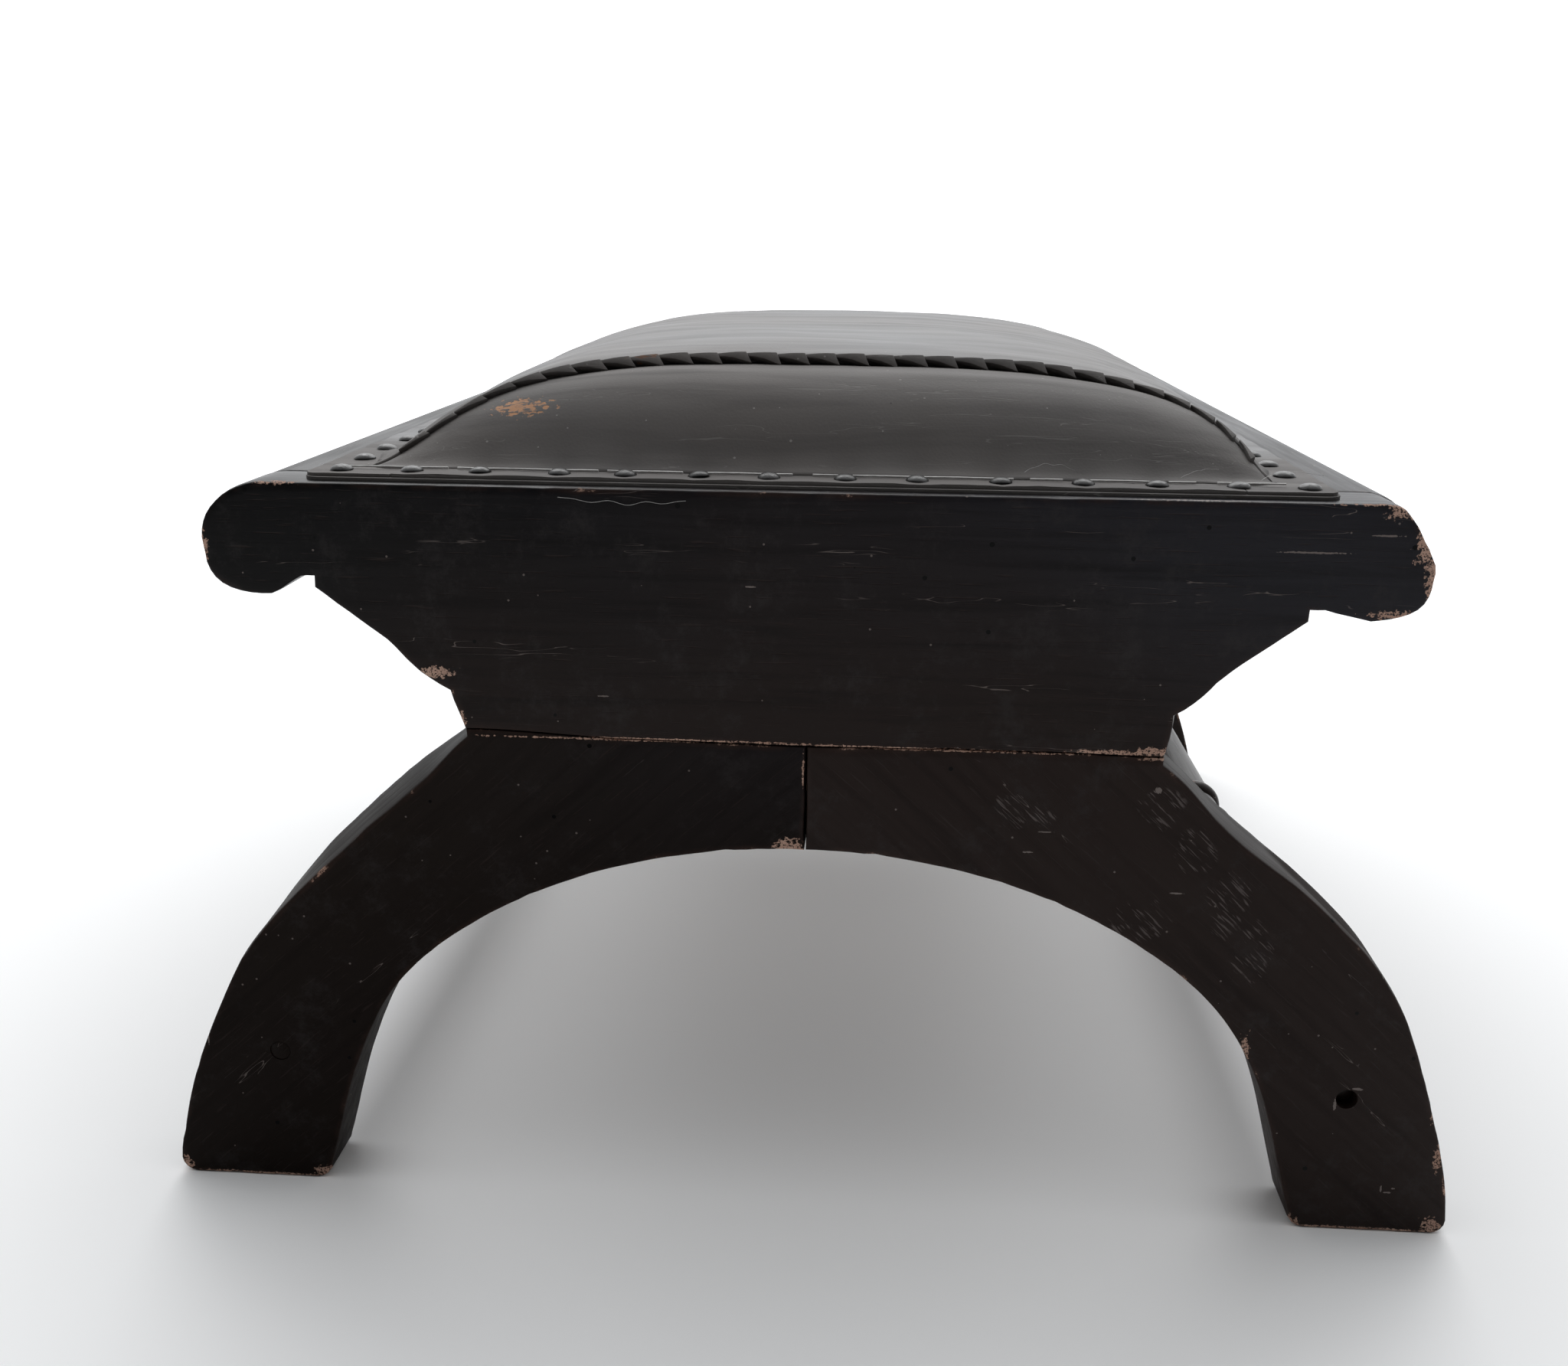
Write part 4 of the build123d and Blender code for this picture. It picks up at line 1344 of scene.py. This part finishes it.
# %% Seam path
def seam_path(steps=400):
    """Points along the seam from left to right, in plan, with the distance run so far."""
    points, run = [], 0.0
    for index in range(steps + 1):
        x = -dome_half * math.cos(math.pi * index / steps)
        point = Vector((x, seam_line(x)))
        if points:
            run += (point - points[-1][0]).length
        points.append((point, run))
    return points


def on_seam(points, run):
    """The place at a distance along the seam, and the direction of the seam there."""
    for (a, run_a), (b, run_b) in zip(points, points[1:]):
        if run_b >= run:
            share = (run - run_a) / max(run_b - run_a, 1e-6)
            return a.lerp(b, share), (b - a).normalized()


# %% [markdown]
# ### Lacing
# The tuck is laid on the seam again and again, tipped over the front of the seat, and smaller at
# the bowed ends. The slope of the leather gives each one its own direction.

# %% Lacing
lace_pitch, lace_tip = 11.2, math.radians(46)


def lacing(name, end):
    bm = bmesh.new()
    points = seam_path()
    total = points[-1][1]
    count = int((total - 14) / lace_pitch)
    start = (total - count * lace_pitch) / 2
    for index in range(count):
        run = start + (index + 0.5) * lace_pitch + 1.1 * ripple(index * 3.1, end * 4, 1)
        plan, way = on_seam(points, run)
        x, y = plan.x, end * plan.y
        slope_x = leather_height(x + 0.5, y) - leather_height(x - 0.5, y)
        slope_y = leather_height(x, y + 0.5) - leather_height(x, y - 0.5)
        up = Vector((-slope_x, -slope_y, 1)).normalized()
        along = Vector((way.x, end * way.y, 0))
        along = (along - up * along.dot(up)).normalized()
        across = up.cross(along)
        if end > 0:
            along, across = -along, -across
        size = lace_size(x)
        lean = lace_tip * (0.4 + 0.6 * size)
        outward = up * math.cos(lean) - across * math.sin(lean)
        across = across * math.cos(lean) + up * math.sin(lean)
        sunk = 0.9 if end > 0 else 0
        origin = Vector((x, y, leather_height(x, y))) + up * (0.5 * size - sunk)
        to_seat = Matrix((along, across, outward)).transposed()
        one_tuck(bm, origin, to_seat, size, lace_pitch * 1.1, index + 40 * (end > 0))
    bmesh.ops.recalc_face_normals(bm, faces=bm.faces[:])
    new_piece(bm, name, lace_leather, smooth_below=35)


lacing("front_lacing", -1)
lacing("rear_lacing", 1)

# %% [markdown]
# ## Nails
# Round-headed upholstery nails hold the flanges, about one every inch. A head is a quarter profile
# spun round its axis, and each one sits a little tilted, as nails driven by hand do.

# %% Nails
nail_metal, shader, place = new_material("nail_metal")
pitted = cloudy(place, Scale=700, Detail=3)
dark_metal = blend(pitted, (0.003, 0.003, 0.0035), (0.022, 0.020, 0.019))
finish(shader, dark_metal, pitted * 0.35 + 0.2, pitted, 0.5, 0.3, metallic=0.2)
head_profile = [(4, 0, 0), (3.98, 0, 0.2), (3.7, 0, 0.6), (3.05, 0, 1.1), (2.05, 0, 1.5),
                (1.0, 0, 1.72), (0, 0, 1.8)]
nail_tilt = 0.16


def add_nail(bm, x, y, seed):
    head = bmesh.new()
    line_through(head, head_profile)
    lathe(head, (0, 0, 1), 16, 0.02)
    tilt = Vector((ripple(seed, 3, 1), ripple(seed, 7, 2), 1.0 / nail_tilt)).normalized()
    turn = Vector((0, 0, 1)).rotation_difference(tilt).to_matrix()
    set_in_place(head, x, y, crease_top - 0.1, turn)
    mesh = mesh_of(head, "head")
    bm.from_mesh(mesh)
    bpy.data.meshes.remove(mesh)


def nail_row(name, places):
    bm = bmesh.new()
    for index, (x, y) in enumerate(places):
        add_nail(bm, x, y, index * 1.3 + len(name) + places[0][0])
    new_piece(bm, name, nail_metal, smooth_below=60)


nail_row("front_nails", [(x, -245.5 + 0.6 * ripple(x, 1, 1)) for x in nail_xs])
nail_row("rear_nails", [(-x, 245 + 0.6 * ripple(x, 4, 1)) for x in nail_xs])
nail_row("right_nails", [(167 + 0.6 * ripple(y, 2, 1), y) for y in side_nail_ys])
nail_row("left_nails", [(-167 + 0.6 * ripple(y, 3, 1), y) for y in side_nail_ys])

# %% [markdown]
# ## Lint and hairs
# Pale lint has gathered in the crease between the nails, and a few loose hairs lie about. Both are
# thin tubes: a small ring is extruded from point to point along its way.

# %% A hair
def hair(bm, points, radius):
    ring = bmesh.ops.create_circle(bm, cap_ends=False, segments=5, radius=radius * mm)["verts"]
    first = (points[1] - points[0]).normalized()
    turn_to = Vector((0, 0, 1)).rotation_difference(first).to_matrix()
    bmesh.ops.rotate(bm, matrix=turn_to, verts=ring)
    bmesh.ops.translate(bm, verts=ring, vec=points[0] * mm)
    edges = list({e for v in ring for e in v.link_edges})
    bmesh.ops.contextual_create(bm, geom=edges)
    for before, here in zip(points, points[1:]):
        made = bmesh.ops.extrude_edge_only(bm, edges=edges)["geom"]
        bmesh.ops.translate(bm, verts=only(BMVert, made), vec=(here - before) * mm)
        edges = only(BMEdge, made)
    bmesh.ops.contextual_create(bm, geom=edges)


# %% [markdown]
# The lint follows the crease, so it makes the same scallops as the leather, and slow noise breaks
# it into lengths. A hair is a curve through two ends and a bend, with a small wave.

# %% Lint and hairs
lint_radius, hair_radius, fewest_points = 0.36, 0.055, 3
lint_bm = bmesh.new()
for low_nail, high_nail in zip(nail_xs, nail_xs[1:]):
    points = []
    for step in range(15):
        x = low_nail + (high_nail - low_nail) * (step + 0.5) / 15
        arch = between_nails(x, nail_xs)
        wobble = 0.35 * ripple(x * 0.4, 3, 1)
        if ripple(x * 0.13, 9, 4) < 0.3:
            height = crease_top + 0.3 + 0.35 * arch + 0.3 * wobble
            points.append(Vector((x, -(240.9 + 1.5 * arch + wobble), height)))
        elif len(points) >= fewest_points:
            hair(lint_bm, points, lint_radius)
            points = []
    if len(points) >= fewest_points:
        hair(lint_bm, points, lint_radius)
for start, bend, stop, sag in (
        ((73, -241, 285.4), (82, -236, 291), (93, -242, 285.2), 1.0),
        ((152, -247, 285.2), (163, -226, 287), (178, -228, 284.2), 0.6),
        ((-86, -260.4, 276.8), (-62, -260.4, 273.8), (-42, -260.4, 276.4), 2.0),
        ((126, -243, 285), (133, -238, 288), (140, -236, 287), 0.4)):
    points = []
    for step in range(25):
        t = step / 24
        where = Vector(start) * (1 - t) ** 2 + Vector(bend) * 2 * t * (1 - t) + Vector(stop) * t * t
        where.z += sag * 0.35 * math.sin(t * 21) * math.sin(math.pi * t)
        points.append(where)
    hair(lint_bm, points, hair_radius)
lint_colour, shader, place = new_material("lint")
fluff = cloudy(place, Scale=300, Detail=3)
finish(shader, blend(fluff, (0.34, 0.33, 0.32), (0.80, 0.79, 0.77)), 0.8)
new_piece(lint_bm, "lint_and_hairs", lint_colour)
